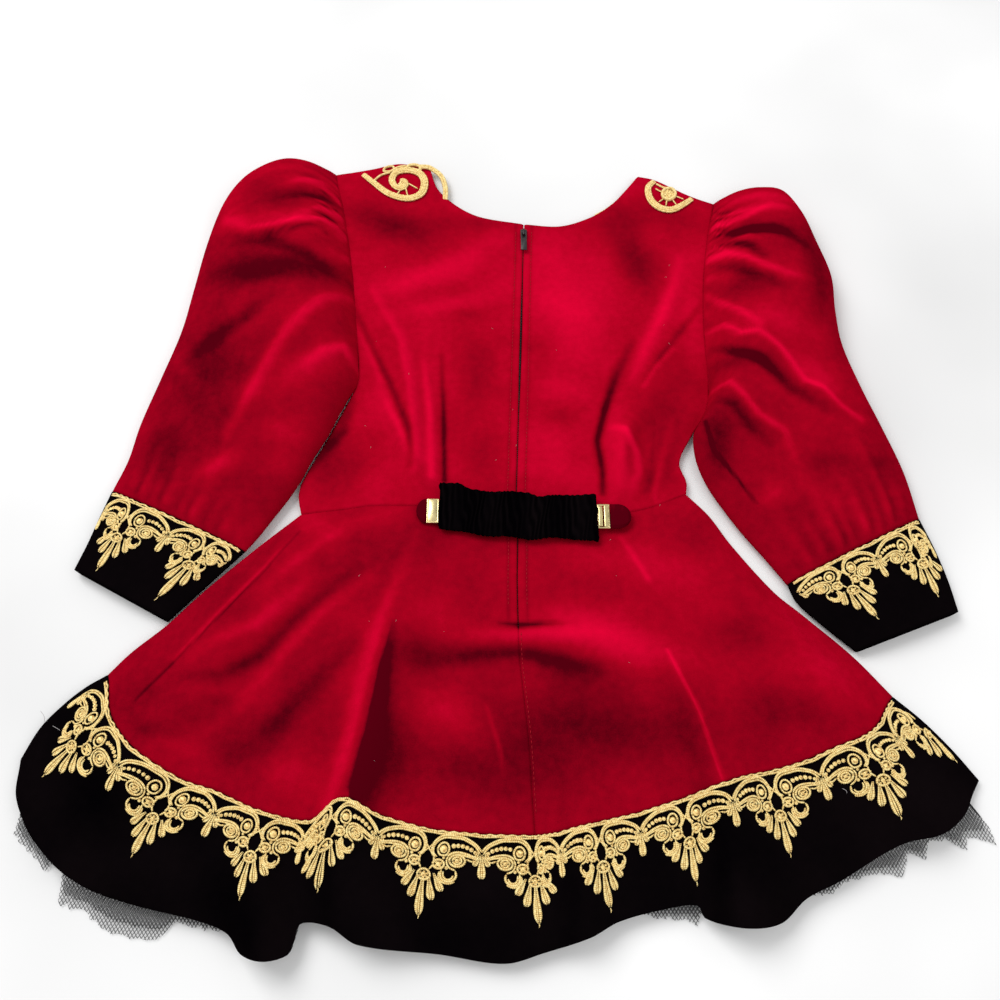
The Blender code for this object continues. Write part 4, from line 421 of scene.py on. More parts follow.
# The lace. Each half repeat runs from the axis of its fan to the trefoil, and its
# cords are (points of distance from the axis and depth below the top, radius, closed)
HALF_REPEAT = 36.0
LACE_DEPTH = 57.0
LACE_BASE = 0.35        # the cords' height above the cloth
HEM_LACE_SHORTER = 0.86         # its depth on the band, as a share of LACE_DEPTHS
HEM_LACE_DROP = 0.3
HEM_LACE_MIDDLE = 1.5   # how far down the band the lace's repeats are measured
CUFF_LACE_DROP = 0.5
FAN_SIZE = 0.95
LACE_CORDS = [
    ([(-0.6, 0.6), (3, 1.2), (7, 0.3), (11, 1.2), (15, 0.2), (19, 1.1), (23, 0.2), (27, 1.2), (31, 0.4),
      (34, 1.4), (36.6, 1.0)], 0.62, False),
    ([(-0.6, 2.4), (6, 2.5), (14, 2.0), (24, 1.9), (31, 2.4), (36.6, 2.7)], 0.62, False),
    ([(36, 9.8), (33, 7.0), (29, 4.9), (23, 3.3), (16, 2.9), (9, 3.0), (4.6, 4.8), (2.3, 8.4),
      (2.9, 12.4), (5.6, 15.6)], 0.75, False),
    ([(35.0, 10.9), (31.6, 7.4), (27.4, 5.4), (22, 4.0), (16, 3.8), (9.4, 4.0), (5.6, 5.6), (3.3, 8.8),
      (3.9, 12.2), (6.6, 14.8)], 0.62, False),
    ([(34.4, 14.4), (29.6, 12.2), (24, 11.0), (19, 10.8), (15.4, 11.8), (13.6, 13.6)], 0.7, False),
    ([(33.6, 15.2), (29.2, 13.3), (24, 12.1), (19.4, 11.9), (16.2, 12.8)], 0.55, False),
    ([(6.2, 9.6), (8.2, 6.7), (11.8, 6.6), (14.0, 9.6), (12.2, 12.8), (8.4, 12.9)], 0.65, True),
    ([(14.9, 16.6), (16.4, 13.2), (20.0, 11.9), (23.6, 13.2), (25.2, 16.6), (23.6, 20.0),
      (20.0, 21.4), (16.4, 20.0)], 0.75, True),
    ([(17.0, 16.6), (18.0, 14.3), (20.0, 13.5), (22.1, 14.3), (23.0, 16.6), (22.1, 18.8),
      (20.0, 19.7), (18.0, 18.8)], 0.6, True),
    ([(4.6, 20.4), (5.8, 17.8), (8.4, 17.0), (11.0, 18.2), (11.9, 20.9), (10.6, 23.4), (8.0, 24.2),
      (5.6, 23.0)], 0.7, True),
    ([(2.4, 7.6), (0.2, 10.0), (-2.4, 12.0), (-5.0, 15.6)], 0.5, False),
    ([(4.4, 15.0), (5.0, 18.4), (4.6, 22.2), (2.8, 25.4)], 0.6, False),
    ([(10.6, 24.6), (10.4, 28.6), (12.0, 32.0), (15.4, 33.2), (18.6, 31.6), (20.2, 28.2), (19.6, 24.8)],
     0.75, False),
    ([(11.9, 25.6), (12.0, 28.4), (13.3, 30.8), (15.4, 31.6), (17.4, 30.4), (18.4, 27.6)], 0.65, False),
    ([(9.4, 26.0), (9.2, 29.4), (11.2, 33.4), (15.4, 34.8), (19.6, 32.8)], 0.6, False),
    ([(14.0, 13.6), (13.2, 16.4), (13.6, 19.6), (15.4, 22.6), (19.4, 24.4)], 0.6, False),
    ([(26, 14.8), (29.4, 16.4), (31.6, 15.4)], 0.55, False),
]
# Cords across the axis of a fan
LACE_AXIS_CORDS = [
    ([(-4.2, 29.8), (-3.0, 26.8), (0, 25.5), (3.0, 26.8), (4.2, 29.8), (3.0, 32.8), (0, 34.0),
      (-3.0, 32.8)], 0.7, True),
    ([(0, 61.0), (0.3, 62.6), (-0.2, 63.8)], 0.35, False),
]
LACE_CORDS_ON_TOP = (4, 5, 10)
# Beads: distance, depth, radius
LACE_BEADS = [
    (31.6, 10.2, 1.2), (28.8, 8.9, 1.35), (25.8, 8.0, 1.45), (22.7, 7.4, 1.45), (19.6, 7.3, 1.45),
    (16.5, 7.6, 1.45), (10.0, 9.7, 2.4), (20.0, 16.6, 1.5), (21.6, 15.4, 0.8), (18.5, 15.3, 0.8),
    (18.4, 17.9, 0.8), (21.7, 18.0, 0.8), (8.2, 20.5, 1.6), (6.6, 19.2, 0.9), (9.9, 19.6, 0.9),
    (9.4, 22.3, 0.9), (6.6, 22.0, 0.9), (13.6, 22.8, 1.2), (11.0, 15.0, 1.0),
]
LACE_AXIS_BEADS = [
    (0, 29.8, 1.7), *[(turn * 2.4, depth, 0.9) for depth in (28.4, 31.4) for turn in (-1, 1)],
    (0, 27.3, 0.9), (0, 32.4, 0.9),
]


def both_sides(rows):
    """Petals on one side of an axis, each followed by its mirror image."""
    return [(turn * root, root_depth, turn * end, end_depth, width)
            for root, root_depth, end, end_depth, width in rows for turn in (1, -1)]


# Petals: root distance and depth, end distance and depth, width at the end
LACE_SIDE_PETALS = [(35.0, 11.6, 31.0, 19.6, 1.7)]
LACE_TREFOIL_PETALS = [(0, 11.0, 0, 29.0, 2.5), *both_sides([(2.2, 9.3, 4.8, 15.0, 1.6)])]
# The fan's own petals, in real sizes from its axis
FAN_PETALS = [
    (0, 30.0, 0, 61.0, 2.6), *both_sides([(3.4, 30.5, 7.0, 49.0, 2.4), (6.4, 27.5, 12.6, 41.0, 2.3)]),
]
# From a depth in the tables to the depth on the cloth, which draws out the scrolls above the fans
LACE_DEPTHS = [(-5.0, -5.0), (2.4, 2.4), (4.8, 7.2), (12.2, 19.0), (24.4, 30.0), (27.0, 33.0), (61.0, 61.0),
               (70.0, 70.0)]

# Where each half repeat of the hem lace ends: (x at the seam, x at the tips)
HEM_LACE_MARKS = [
    (-264, -312), (-256, -297), (-239, -257), (-205, -232), (-175, -195), (-146, -158), (-120, -129),
    (-101, -112), (-74, -80), (-42, -50), (-11, -11), (21, 23), (37, 41), (60, 66), (88, 91),
    (116, 121), (145, 150), (172, 182), (203, 216), (231, 252), (249, 282), (262, 309),
]
# The same across the back of each cuff, as shares from its outer to its inner edge
LEFT_CUFF_MARKS = [0.03, 0.22, 0.54, 0.80, 0.98]
RIGHT_CUFF_MARKS = [0.035, 0.15, 0.42, 0.67, 0.97]
CUFF_LACE_SHORTER = 0.90

# Shoulder appliques: cords in plan with their radius
LEFT_APPLIQUE = [
    ([(-117.3, 613.7), (-108.6, 605.2), (-94.0, 592.3), (-77.8, 587.2), (-67.0, 592.3), (-64.4, 605.2),
      (-68.8, 614.4), (-79.0, 618.3), (-89.0, 615.7), (-92.3, 607.8), (-89.3, 600.6), (-84.2, 598.4),
      (-80.6, 601.3), (-81.6, 606.3), (-85.4, 606.6)], 3.3),
    ([(-100.3, 616.9), (-98.5, 621.1), (-93.1, 622.7), (-90.9, 620.0), (-94.2, 616.9), (-100.3, 616.9)], 1.0),
    ([(-92.3, 617.6), (-87.0, 621.2), (-80.5, 622.8)], 1.2),
    ([(-80.6, 619.8), (-78.2, 623.0), (-73.6, 624.0), (-69.2, 622.2), (-68.4, 618.8), (-72.4, 616.6),
      (-77.6, 617.2), (-80.6, 619.8)], 1.4),
    ([(-108, 606), (-102, 612.6), (-94, 616)], 0.9),
    ([(-84, 598), (-88, 590.5)], 0.6),
    ([(-80.5, 600), (-78, 589.4)], 0.6),
    ([(-78.5, 604), (-70, 598)], 0.6),
]
LOOSE_LOOP = [(-69.2, 621.2), (-60.4, 621.4), (-50.7, 613.0), (-46.6, 600.2), (-46.5, 586.8)]
RIGHT_APPLIQUE = [
    ([(131.8, 606.4), (126.1, 599.0), (127.2, 585.9), (134.5, 577.0), (144.3, 575.0), (154.6, 580.8),
      (162.4, 587.0)], 3.2),
    ([(137.4, 593.0), (140.4, 597.2), (145.6, 597.6), (148.4, 593.6), (147.2, 588.2), (142.4, 585.6),
      (138.2, 588.2), (137.4, 593.0)], 1.4),
    ([(139.4, 592.6), (132.1, 598.0)], 0.6),
    ([(140.4, 589), (134.0, 583.3)], 0.6),
    ([(141.6, 588.6), (139.8, 579.5)], 0.6),
    ([(144.4, 588.6), (148.8, 580.0)], 0.6),
    ([(146.2, 591.2), (155.2, 586.4)], 0.6),
    ([(133, 603), (138, 599.6), (143, 597.6)], 0.9),
]
NECK_TRIM = [(79.6, 571.6), (88.6, 577.4), (97.4, 585.4), (103.0, 591.6)]

# Colours, linear. The light is stronger than one, so they are darker than they show.
VELVET_DARK = (0.070, 0.0002, 0.0040)
VELVET_MIDDLE = (0.330, 0.0006, 0.0110)
VELVET_BRIGHT = (0.640, 0.0010, 0.0300)
BLACK_VELVET_DARK = (0.0006, 0.0004, 0.0007)
BLACK_VELVET_BRIGHT = (0.0040, 0.0025, 0.0030)
GOLD_LIGHT = (1.0, 0.72, 0.26)
GOLD_SHADE = (0.42, 0.23, 0.066)
GOLD_GLINT = (1.0, 0.90, 0.46)
GOLD_METAL = (0.86, 0.72, 0.36)
NET_COLOUR = (0.035, 0.035, 0.036)
PLASTIC_COLOUR = (0.010, 0.006, 0.007)
TAPE_COLOUR = (0.03, 0.004, 0.008)
THREAD_RED = (0.42, 0.002, 0.012)
LINT_COLOUR = (0.45, 0.42, 0.42)
FLOOR_COLOUR = (0.90, 0.90, 0.90)


def smooth_between(start, end, leave, arrive, part):
    """A value between two others, with the slopes in which it leaves the one and meets the other."""
    square, cube = part ** 2, part ** 3
    return (start * (2 * cube - 3 * square + 1) + leave * (cube - 2 * square + part)
            + end * (3 * square - 2 * cube) + arrive * (cube - square))


class Line:
    """A smooth line through rows of numbers, read by its share of the plan length."""

    def __init__(self, rows):
        self.rows = np.array(rows, float)
        steps = np.linalg.norm(np.diff(self.rows, axis=0), axis=1)
        self.marks = np.concatenate([[0.0], np.cumsum(steps)])
        order = np.arange(len(self.rows))
        before, after = np.maximum(order - 1, 0), np.minimum(order + 1, len(order) - 1)
        spans = (self.marks[after] - self.marks[before])[:, None]
        self.tangents = (self.rows[after] - self.rows[before]) / spans

    def at(self, share):
        distance = np.clip(np.asarray(share, float), 0.0, 1.0) * self.marks[-1]
        span = np.clip(np.searchsorted(self.marks, distance) - 1, 0, len(self.marks) - 2)
        length = (self.marks[span + 1] - self.marks[span])[..., None]
        part = (distance - self.marks[span])[..., None] / length
        return smooth_between(self.rows[span], self.rows[span + 1], self.tangents[span] * length,
                              self.tangents[span + 1] * length, part)

    def share_at_x(self, x):
        shares = np.linspace(0, 1, 2001)
        return float(np.interp(x, self.at(shares)[:, 0], shares))


def ease(value):
    value = np.clip(value, 0.0, 1.0)
    return value * value * (3 - 2 * value)


def between(start, end, share):
    return start + (end - start) * share


LINES = {name: Line(rows) for name, rows in {
    "waist": WAIST, "centre back": CENTRE_BACK, "seam": SEAM, "hem": HEM,
    "left neck": LEFT_NECK, "left shoulder": LEFT_SHOULDER, "left side": LEFT_SIDE,
    "right neck": RIGHT_NECK, "right shoulder": RIGHT_SHOULDER, "right side": RIGHT_SIDE,
    "left edge": LEFT_EDGE, "right edge": RIGHT_EDGE,
    "left band edge": LEFT_BAND_EDGE, "right band edge": RIGHT_BAND_EDGE,
}.items()}
GUIDES = np.array([(share, LINES["waist"].share_at_x(waist_x), LINES["seam"].share_at_x(seam_x),
                    LINES["hem"].share_at_x(hem_x)) for share, waist_x, seam_x, hem_x in COLUMN_GUIDES])
GUIDES[0] = 0.0
GUIDES[-1] = 1.0


def coons(bottom, top, first, last, across, along):
    """Points of the patch between four lines that meet at their ends."""
    over, up = across[..., None], along[..., None]
    sides = first(along) * (1 - over) + last(along) * over
    ends = bottom(across) * (1 - up) + top(across) * up
    start, end = np.zeros(1), np.ones(1)
    corners = ((bottom(start) * (1 - over) + bottom(end) * over) * (1 - up)
               + (top(start) * (1 - over) + top(end) * over) * up)
    return sides + ends - corners


def fold_height(rows, x, y):
    """Height of one ridge at each point, from the nearest place along it."""
    nearest = np.full(np.shape(x), np.inf)
    best = np.zeros(np.shape(x))
    for start, end in zip(rows, rows[1:]):
        step_x, step_y = end[0] - start[0], end[1] - start[1]
        share = ((x - start[0]) * step_x + (y - start[1]) * step_y) / (step_x ** 2 + step_y ** 2)
        share = np.clip(share, 0.0, 1.0)
        away_x, away_y = x - start[0] - share * step_x, y - start[1] - share * step_y
        distance = np.hypot(away_x, away_y)
        on_left = step_x * away_y - step_y * away_x < 0
        width = np.where(on_left, between(start[2], end[2], share), between(start[3], end[3], share))
        height = between(start[4], end[4], share) * np.exp(-(distance / width) ** 2)
        best = np.where(distance < nearest, height, best)
        nearest = np.minimum(distance, nearest)
    return best


def relief(x, y, folds=FOLDS):
    return sum(fold_height(rows, x, y) for rows in folds)


def nap_and_shading_at(x, y, patches, lines):
    """How bright the nap lies at each plan point, about zero, with painted light on ridges and painted shade
    in creases and troughs.
    """
    nap_and_shading = relief(x, y, lines)
    for centre_x, centre_y, radius_x, radius_y, tilt, amount in patches:
        turn = math.radians(tilt)
        over = (x - centre_x) * math.cos(turn) + (y - centre_y) * math.sin(turn)
        up = (y - centre_y) * math.cos(turn) - (x - centre_x) * math.sin(turn)
        nap_and_shading = nap_and_shading + amount * np.exp(-(over / radius_x) ** 2 - (up / radius_y) ** 2)
    return nap_and_shading


def ripple(x, y, height, length, seed):
    """A soft uneven ripple of a height on both sides of zero, from a few crossing waves."""
    dice = random.Random(seed)
    total = 0.0
    for _ in range(RIPPLE_WAVES):
        turn, phase = dice.uniform(0, math.pi), dice.uniform(0, 2 * math.pi)
        pace = 2 * math.pi / (length * dice.uniform(0.7, 1.5))
        total = total + np.sin((x * math.cos(turn) + y * math.sin(turn)) * pace + phase)
    return height * total / RIPPLE_WAVES


def guided(name, column):
    """A line of the skirt, read by the share of the width that the skirt's columns follow."""
    def at(share):
        return LINES[name].at(np.interp(share, GUIDES[:, 0], GUIDES[:, column]))
    return at


def skirt_plan(across, down):
    """Plan points of the skirt: down runs 0 to 1 to the seam and 1 to 2 over the hem band."""
    across, down = np.broadcast_arrays(np.asarray(across, float), np.asarray(down, float))
    waist, seam, hem = guided("waist", 1), guided("seam", 2), guided("hem", 3)
    upper = coons(waist, seam, LINES["left edge"].at, LINES["right edge"].at, across, np.clip(down, 0, 1))
    lower = coons(seam, hem, LINES["left band edge"].at, LINES["right band edge"].at,
                  across, np.clip(down - 1, 0, 1))
    beyond = np.maximum(down - 2.0, 0.0)[..., None] * (hem(across) - seam(across))
    return np.where(down[..., None] <= 1.0, upper, lower + beyond)


def skirt_outer(across, down, fine=True):
    """Outer face of the back skirt and its hem band, as points in millimetres."""
    across, down = np.broadcast_arrays(np.asarray(across, float), np.asarray(down, float))
    plan = skirt_plan(across, down)
    x, y = plan[..., 0], plan[..., 1]
    rolled = ease(np.minimum(across, 1.0 - across) / SIDE_ROLL)
    below_waist = np.linalg.norm(skirt_plan(across, 0.0 * down) - plan, axis=-1)
    rise = between(BODICE_RISE, SKIRT_RISE, ease(below_waist / SKIRT_RISE_LENGTH))
    lift = relief(x, y)
    if fine:
        lift = lift + relief(x, y, SKIRT_CREASES) + ripple(x, y, *SKIRT_RIPPLE)
        lift = lift + np.where(down <= 1.0, relief(x, y, SKIRT_SEAMS), 0.0)
    return np.dstack([x, y, EDGE_HEIGHT + rolled * (rise + lift)]).reshape(*x.shape, 3)


def bodice_plan(side, across, up):
    """Plan points of half the bodice: across from the centre back, up from the waist."""
    waist, centre_x = LINES["waist"], LINES["waist"].share_at_x(CENTRE_BACK[0][0])
    neck, shoulder = LINES[side + " neck"], LINES[side + " shoulder"]
    neck_share = neck.marks[-1] / (neck.marks[-1] + shoulder.marks[-1])
    side_share = 0.0 if side == "left" else 1.0

    def bottom(share):
        return waist.at(between(centre_x, side_share, share))

    def top(share):
        on_neck = (share <= neck_share)[..., None]
        return np.where(on_neck, neck.at(share / neck_share),
                        shoulder.at((share - neck_share) / (1 - neck_share)))

    return coons(bottom, top, LINES["centre back"].at, LINES[side + " side"].at, across, up)


UNDERARM_SHARE = 0.34       # of the bodice's height at its side
BODICE_SIDE_ROLL = 0.1      # share of half its width over which its side curves down
ARMHOLE_BLEND = 0.06        # share of its height in which that curve ends, above the underarm


def bodice_outer(side, across, up):
    plan = bodice_plan(side, across, up)
    x, y = plan[..., 0], plan[..., 1]
    at_side = ease((1.0 - across) / BODICE_SIDE_ROLL)
    rolled = between(at_side, 1.0, ease((up - UNDERARM_SHARE) / ARMHOLE_BLEND))
    lift = relief(x, y, FOLDS + BODICE_CREASES + BODICE_SEAMS) + ripple(x, y, *BODICE_RIPPLE)
    return np.dstack([x, y, EDGE_HEIGHT + rolled * (BODICE_RISE + lift)]).reshape(*x.shape, 3)


def place(points):
    """From plan millimetres to the frame of the dress in metres."""
    return (np.asarray(points, float) - (*PLAN_CENTRE, 0.0)) * MM


def make_object(name, vertices, faces, material, node=None, slot=None, body="dress"):
    mesh = bpy.data.meshes.new(name)
    mesh.from_pydata(np.asarray(vertices).tolist(), [], faces)
    mesh.materials.append(material)
    mesh.shade_smooth()
    made = bpy.data.objects.new(name, mesh)
    bpy.context.scene.collection.objects.link(made)
    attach(made, body)
    if node:
        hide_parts(node)
    return made


def grid_faces(rows, columns, closed=False):
    spans = columns if closed else columns - 1
    return [(row * columns + column, (row + 1) * columns + column,
             (row + 1) * columns + (column + 1) % columns, row * columns + (column + 1) % columns)
            for row in range(rows - 1) for column in range(spans)]


def set_nap_and_shading(made, nap_and_shading):
    # Kept on the mesh: the nap, with painted light on ridges and painted shade in creases
    values = made.data.attributes.new("nap_and_shading", "FLOAT", "POINT")
    values.data.foreach_set("value", np.asarray(nap_and_shading, float).ravel())


FACING_SAMPLES = 500        # faces that are looked at to see which way a shell faces


def shell(name, points, nap_and_shading, material, node, slot, up=True, thickness=SHELL):
    """A thin wall whose outer face passes through a grid of points."""
    rows, columns = points.shape[:2]
    faces = grid_faces(rows, columns)
    flat = points.reshape(-1, 3)
    corners = flat[np.array(faces[:: max(1, len(faces) // FACING_SAMPLES)])]
    facing = np.cross(corners[:, 1] - corners[:, 0], corners[:, 3] - corners[:, 0])[:, 2].sum()
    if (facing > 0) != up:
        faces = [face[::-1] for face in faces]
    made = make_object(name, place(flat), faces, material, node, slot)
    set_nap_and_shading(made, nap_and_shading)
    wall = made.modifiers.new("wall", "SOLIDIFY")
    wall.thickness = thickness * MM
    wall.offset = -1.0
    return made


# Materials

class Finish:
    """A material and the few kinds of node that its colour and its fine relief come from."""

    def __init__(self, name):
        self.material = bpy.data.materials.new(name)
        self.material.use_nodes = True
        self.nodes = self.material.node_tree.nodes
        self.links = self.material.node_tree.links
        self.shader = self.nodes["Principled BSDF"]

    def texture_place(self, scale=(1, 1, 1), turn=0.0, source="Object"):
        coordinates = self.nodes.new("ShaderNodeTexCoord")
        mapping = self.nodes.new("ShaderNodeMapping")
        mapping.inputs["Scale"].default_value = scale
        mapping.inputs["Rotation"].default_value = (0, 0, math.radians(turn))
        self.links.new(coordinates.outputs[source], mapping.inputs["Vector"])
        return mapping.outputs["Vector"]

    def noise(self, scale, detail):
        made = self.nodes.new("ShaderNodeTexNoise")
        made.inputs["Scale"].default_value = scale
        made.inputs["Detail"].default_value = detail
        self.links.new(self.texture_place(), made.inputs["Vector"])
        return made.outputs["Fac"]

    def bands(self, place_in, scale, distortion, direction="X"):
        made = self.nodes.new("ShaderNodeTexWave")
        made.bands_direction = direction
        made.inputs["Scale"].default_value = scale
        made.inputs["Distortion"].default_value = distortion
        self.links.new(place_in, made.inputs["Vector"])
        return made.outputs["Fac"]

    def maths(self, operation, *values):
        """One sum, whose values are numbers or the outputs of other nodes."""
        made = self.nodes.new("ShaderNodeMath")
        made.operation = operation
        for socket, value in zip(made.inputs, values):
            if isinstance(value, (int, float)):
                socket.default_value = value
            else:
                self.links.new(value, socket)
        return made.outputs[0]

    def colour(self, value, stops):
        made = self.nodes.new("ShaderNodeValToRGB")
        elements = made.color_ramp.elements
        while len(elements) < len(stops):
            elements.new(0.5)
        for element, (position, colour) in zip(elements, stops):
            element.position = position
            element.color = (*colour, 1.0)
        self.links.new(value, made.inputs["Fac"])
        self.links.new(made.outputs["Color"], self.shader.inputs["Base Color"])

    def bump(self, height, strength, distance):
        made = self.nodes.new("ShaderNodeBump")
        made.inputs["Strength"].default_value = strength
        made.inputs["Distance"].default_value = distance
        self.links.new(height, made.inputs["Height"])
        self.links.new(made.outputs["Normal"], self.shader.inputs["Normal"])


# Unevenness of the pile, from broad patches to single tufts: noise scale, detail, amount
PILE_MOTTLES = [(26, 3, 0.40), (170, 3, 0.22), (1500, 2, 0.22)]
# The velvet's colour ramp reads the nap with its painted light and shade
NAP_MIDDLE = 0.5        # the colour stop of a nap of zero


def velvet(name, stops, sheen, sheen_tint):
    """Pile whose colour follows the nap and the painted light and shade that are kept on the mesh, with fine
    mottling.
    """
    finish = Finish(name)
    nap_and_shading = finish.nodes.new("ShaderNodeAttribute")
    nap_and_shading.attribute_name = "nap_and_shading"
    level = finish.maths("ADD", nap_and_shading.outputs["Fac"], NAP_MIDDLE)
    for scale, detail, amount in PILE_MOTTLES:
        pile = finish.noise(scale, detail)
        level = finish.maths("ADD", level, finish.maths("MULTIPLY_ADD", pile, amount, -amount / 2))
    finish.colour(level, stops)
    finish.bump(pile, 0.25, 0.0004)
    shader = finish.shader
    shader.inputs["Roughness"].default_value = 0.9
    shader.inputs["Specular IOR Level"].default_value = 0.0
    shader.inputs["Sheen Weight"].default_value = sheen
    shader.inputs["Sheen Roughness"].default_value = 0.35
    shader.inputs["Sheen Tint"].default_value = (*sheen_tint, 1.0)
    return finish.material


WAVE_PERIOD = 0.628     # of the diagonal wave texture at scale one
STRAND_PITCH = 1.1


def gold_thread():
    """Twisted metallic thread: its strands cross the cord at a slant."""
    finish = Finish("gold thread")
    turns = (WAVE_PERIOD, WAVE_PERIOD / STRAND_PITCH, 1.0)
    strand = finish.bands(finish.texture_place(turns, source="UV"), 1.0, 0.6, "DIAGONAL")
    patches = finish.maths("MULTIPLY_ADD", finish.noise(620, 3), 1.3, -0.32)
    # Painted shade between the strands and painted glints on them, with random patches
    level = finish.maths("ADD", finish.maths("MULTIPLY", strand, 0.44), patches)
    finish.colour(level, [(0.14, GOLD_SHADE), (0.52, GOLD_LIGHT), (0.95, GOLD_GLINT)])
    finish.bump(strand, 0.8, 0.0004)
    finish.shader.inputs["Roughness"].default_value = 0.42
    finish.shader.inputs["Metallic"].default_value = 0.15
    return finish.material


def plain(name, colour, roughness, metallic=0.0, grain=900, specular=0.5):
    """A plain finish with slight unevenness."""
    finish = Finish(name)
    fine = finish.noise(grain, 3)
    darker = tuple(0.7 * part for part in colour)
    finish.colour(fine, [(0.3, darker), (0.7, colour)])
    finish.bump(fine, 0.12, 0.0002)
    finish.shader.inputs["Roughness"].default_value = roughness
    finish.shader.inputs["Metallic"].default_value = metallic
    finish.shader.inputs["Specular IOR Level"].default_value = specular
    return finish.material


NET_PITCH_SCALE = 165.0     # of the wave that draws one set of the net's threads
NET_THREAD_SHARE = 0.11
NET_THREAD_TURN = 35        # degrees to either side


def net_cloth():
    """Fine net: two crossing sets of threads, clear between them."""
    finish = Finish("black net")
    finish.shader.inputs["Base Color"].default_value = (*NET_COLOUR, 1.0)
    finish.shader.inputs["Roughness"].default_value = 0.7
    sets = []
    for turn in (NET_THREAD_TURN, -NET_THREAD_TURN):
        threads = finish.bands(finish.texture_place(turn=turn), NET_PITCH_SCALE, 0.4)
        sets.append(finish.maths("GREATER_THAN", threads, 1 - NET_THREAD_SHARE))
    clear = finish.nodes.new("ShaderNodeBsdfTransparent")
    mix = finish.nodes.new("ShaderNodeMixShader")
    finish.links.new(finish.maths("MAXIMUM", *sets), mix.inputs["Fac"])
    finish.links.new(clear.outputs[0], mix.inputs[1])
    finish.links.new(finish.shader.outputs[0], mix.inputs[2])
    finish.links.new(mix.outputs[0], finish.nodes["Material Output"].inputs["Surface"])
    return finish.material


RED = velvet("red velvet", [(0.0, VELVET_DARK), (0.5, VELVET_MIDDLE), (1.0, VELVET_BRIGHT)],
             0.05, (1.0, 0.0, 0.05))
BLACK = velvet("black velvet", [(0.1, BLACK_VELVET_DARK), (0.9, BLACK_VELVET_BRIGHT)], 0.0, (1.0, 1.0, 1.0))
GOLD = gold_thread()
METAL = plain("gold metal", GOLD_METAL, 0.24, 1.0, 300)
NET = net_cloth()
PLASTIC = plain("black plastic", PLASTIC_COLOUR, 0.35)
TAPE = plain("zip tape", TAPE_COLOUR, 0.85, 0.0, 1500, 0.1)
RED_THREAD = plain("red thread", THREAD_RED, 0.6, 0.0, 1500, 0.2)
LINT = plain("lint", LINT_COLOUR, 0.9, 0.0, 1500, 0.1)


# Tubes, beads and petals, collected into one piece

TUBE_END = 0.45         # a tube's size at its rounded ends, as a share
BEAD_ROWS = 3
BEAD_SIDES = 7
BEAD_TEXTURE_STEP = 0.4


def ring_faces(count, sides, closed=False):
    """Faces between rings of points that follow each other, and back to the first where closed."""
    return [(row * sides + index, row * sides + (index + 1) % sides,
             (row + 1) % count * sides + (index + 1) % sides, (row + 1) % count * sides + index)
            for row in range(count if closed else count - 1) for index in range(sides)]


class Heap:
    """Vertices, faces and texture places of many small forms, made into one mesh."""

    def __init__(self):
        self.points, self.faces, self.uv = [], [], []
        self.count = 0

    def append(self, points, faces, uv):
        self.points.append(points)
        self.faces += [tuple(self.count + index for index in face) for face in faces]
        self.uv.append(uv)
        self.count += len(points)

    def tube(self, centre, normals, radius, sides=6, closed=False, flat=1.0):
        """A cord along its centre line, in millimetres, with rounded ends."""
        centre = np.asarray(centre, float)
        count = len(centre)
        if closed:
            way = np.roll(centre, -1, axis=0) - np.roll(centre, 1, axis=0)
        else:
            way = np.gradient(centre, axis=0)
        way /= np.maximum(np.linalg.norm(way, axis=1, keepdims=True), 1e-9)
        side = np.cross(way, normals)
        side /= np.maximum(np.linalg.norm(side, axis=1, keepdims=True), 1e-9)
        top = np.cross(side, way)
        size = np.full(count, radius) if np.ndim(radius) == 0 else np.asarray(radius, float)
        if not closed:
            size = size.copy()
            size[[0, -1]] *= TUBE_END
        turns = np.arange(sides) * 2 * math.pi / sides
        ring = (side[:, None] * np.cos(turns)[None, :, None]
                + top[:, None] * np.sin(turns)[None, :, None] * flat)
        points = (centre[:, None] + ring * size[:, None, None]).reshape(-1, 3)
        faces = ring_faces(count, sides, closed)
        if not closed:
            faces.append(tuple(range(sides))[::-1])
            faces.append(tuple((count - 1) * sides + index for index in range(sides)))
        along = np.concatenate([[0.0], np.cumsum(np.linalg.norm(np.diff(centre, axis=0), axis=1))])
        uv = np.dstack(np.meshgrid(np.arange(sides) / sides, along)).reshape(-1, 2)
        self.append(points, faces, uv)

    def bead(self, centre, normal, radius, flat=0.75):
        """A small rounded knot, half sunk."""
        side = np.cross(normal, (0.0, 1.0, 0.2))
        side /= np.linalg.norm(side)
        other = np.cross(normal, side)
        points = []
        for row in range(BEAD_ROWS):
            lift = math.sin(math.pi / 2 * row / BEAD_ROWS)
            wide = math.cos(math.pi / 2 * row / BEAD_ROWS)
            for index in range(BEAD_SIDES):
                turn = 2 * math.pi * index / BEAD_SIDES
                around = side * math.cos(turn) + other * math.sin(turn)
                points.append(centre + radius * (around * wide + normal * lift * flat))
        points.append(centre + radius * normal * flat)
        faces = ring_faces(BEAD_ROWS, BEAD_SIDES)
        last, top = (BEAD_ROWS - 1) * BEAD_SIDES, BEAD_ROWS * BEAD_SIDES
        faces += [(last + index, last + (index + 1) % BEAD_SIDES, top) for index in range(BEAD_SIDES)]
        uv = np.array([(index % BEAD_SIDES / BEAD_SIDES, index // BEAD_SIDES * BEAD_TEXTURE_STEP)
                       for index in range(len(points))])
        self.append(np.array(points), faces, uv)

    def make(self, name, material, node=None, slot=None, body="dress"):
        made = make_object(name, place(np.concatenate(self.points)), self.faces, material, node, slot, body)
        layer = made.data.uv_layers.new(name="cord")
        indices = np.zeros(len(made.data.loops), int)
        made.data.loops.foreach_get("vertex_index", indices)
        layer.data.foreach_set("uv", np.concatenate(self.uv)[indices].ravel())
        return made


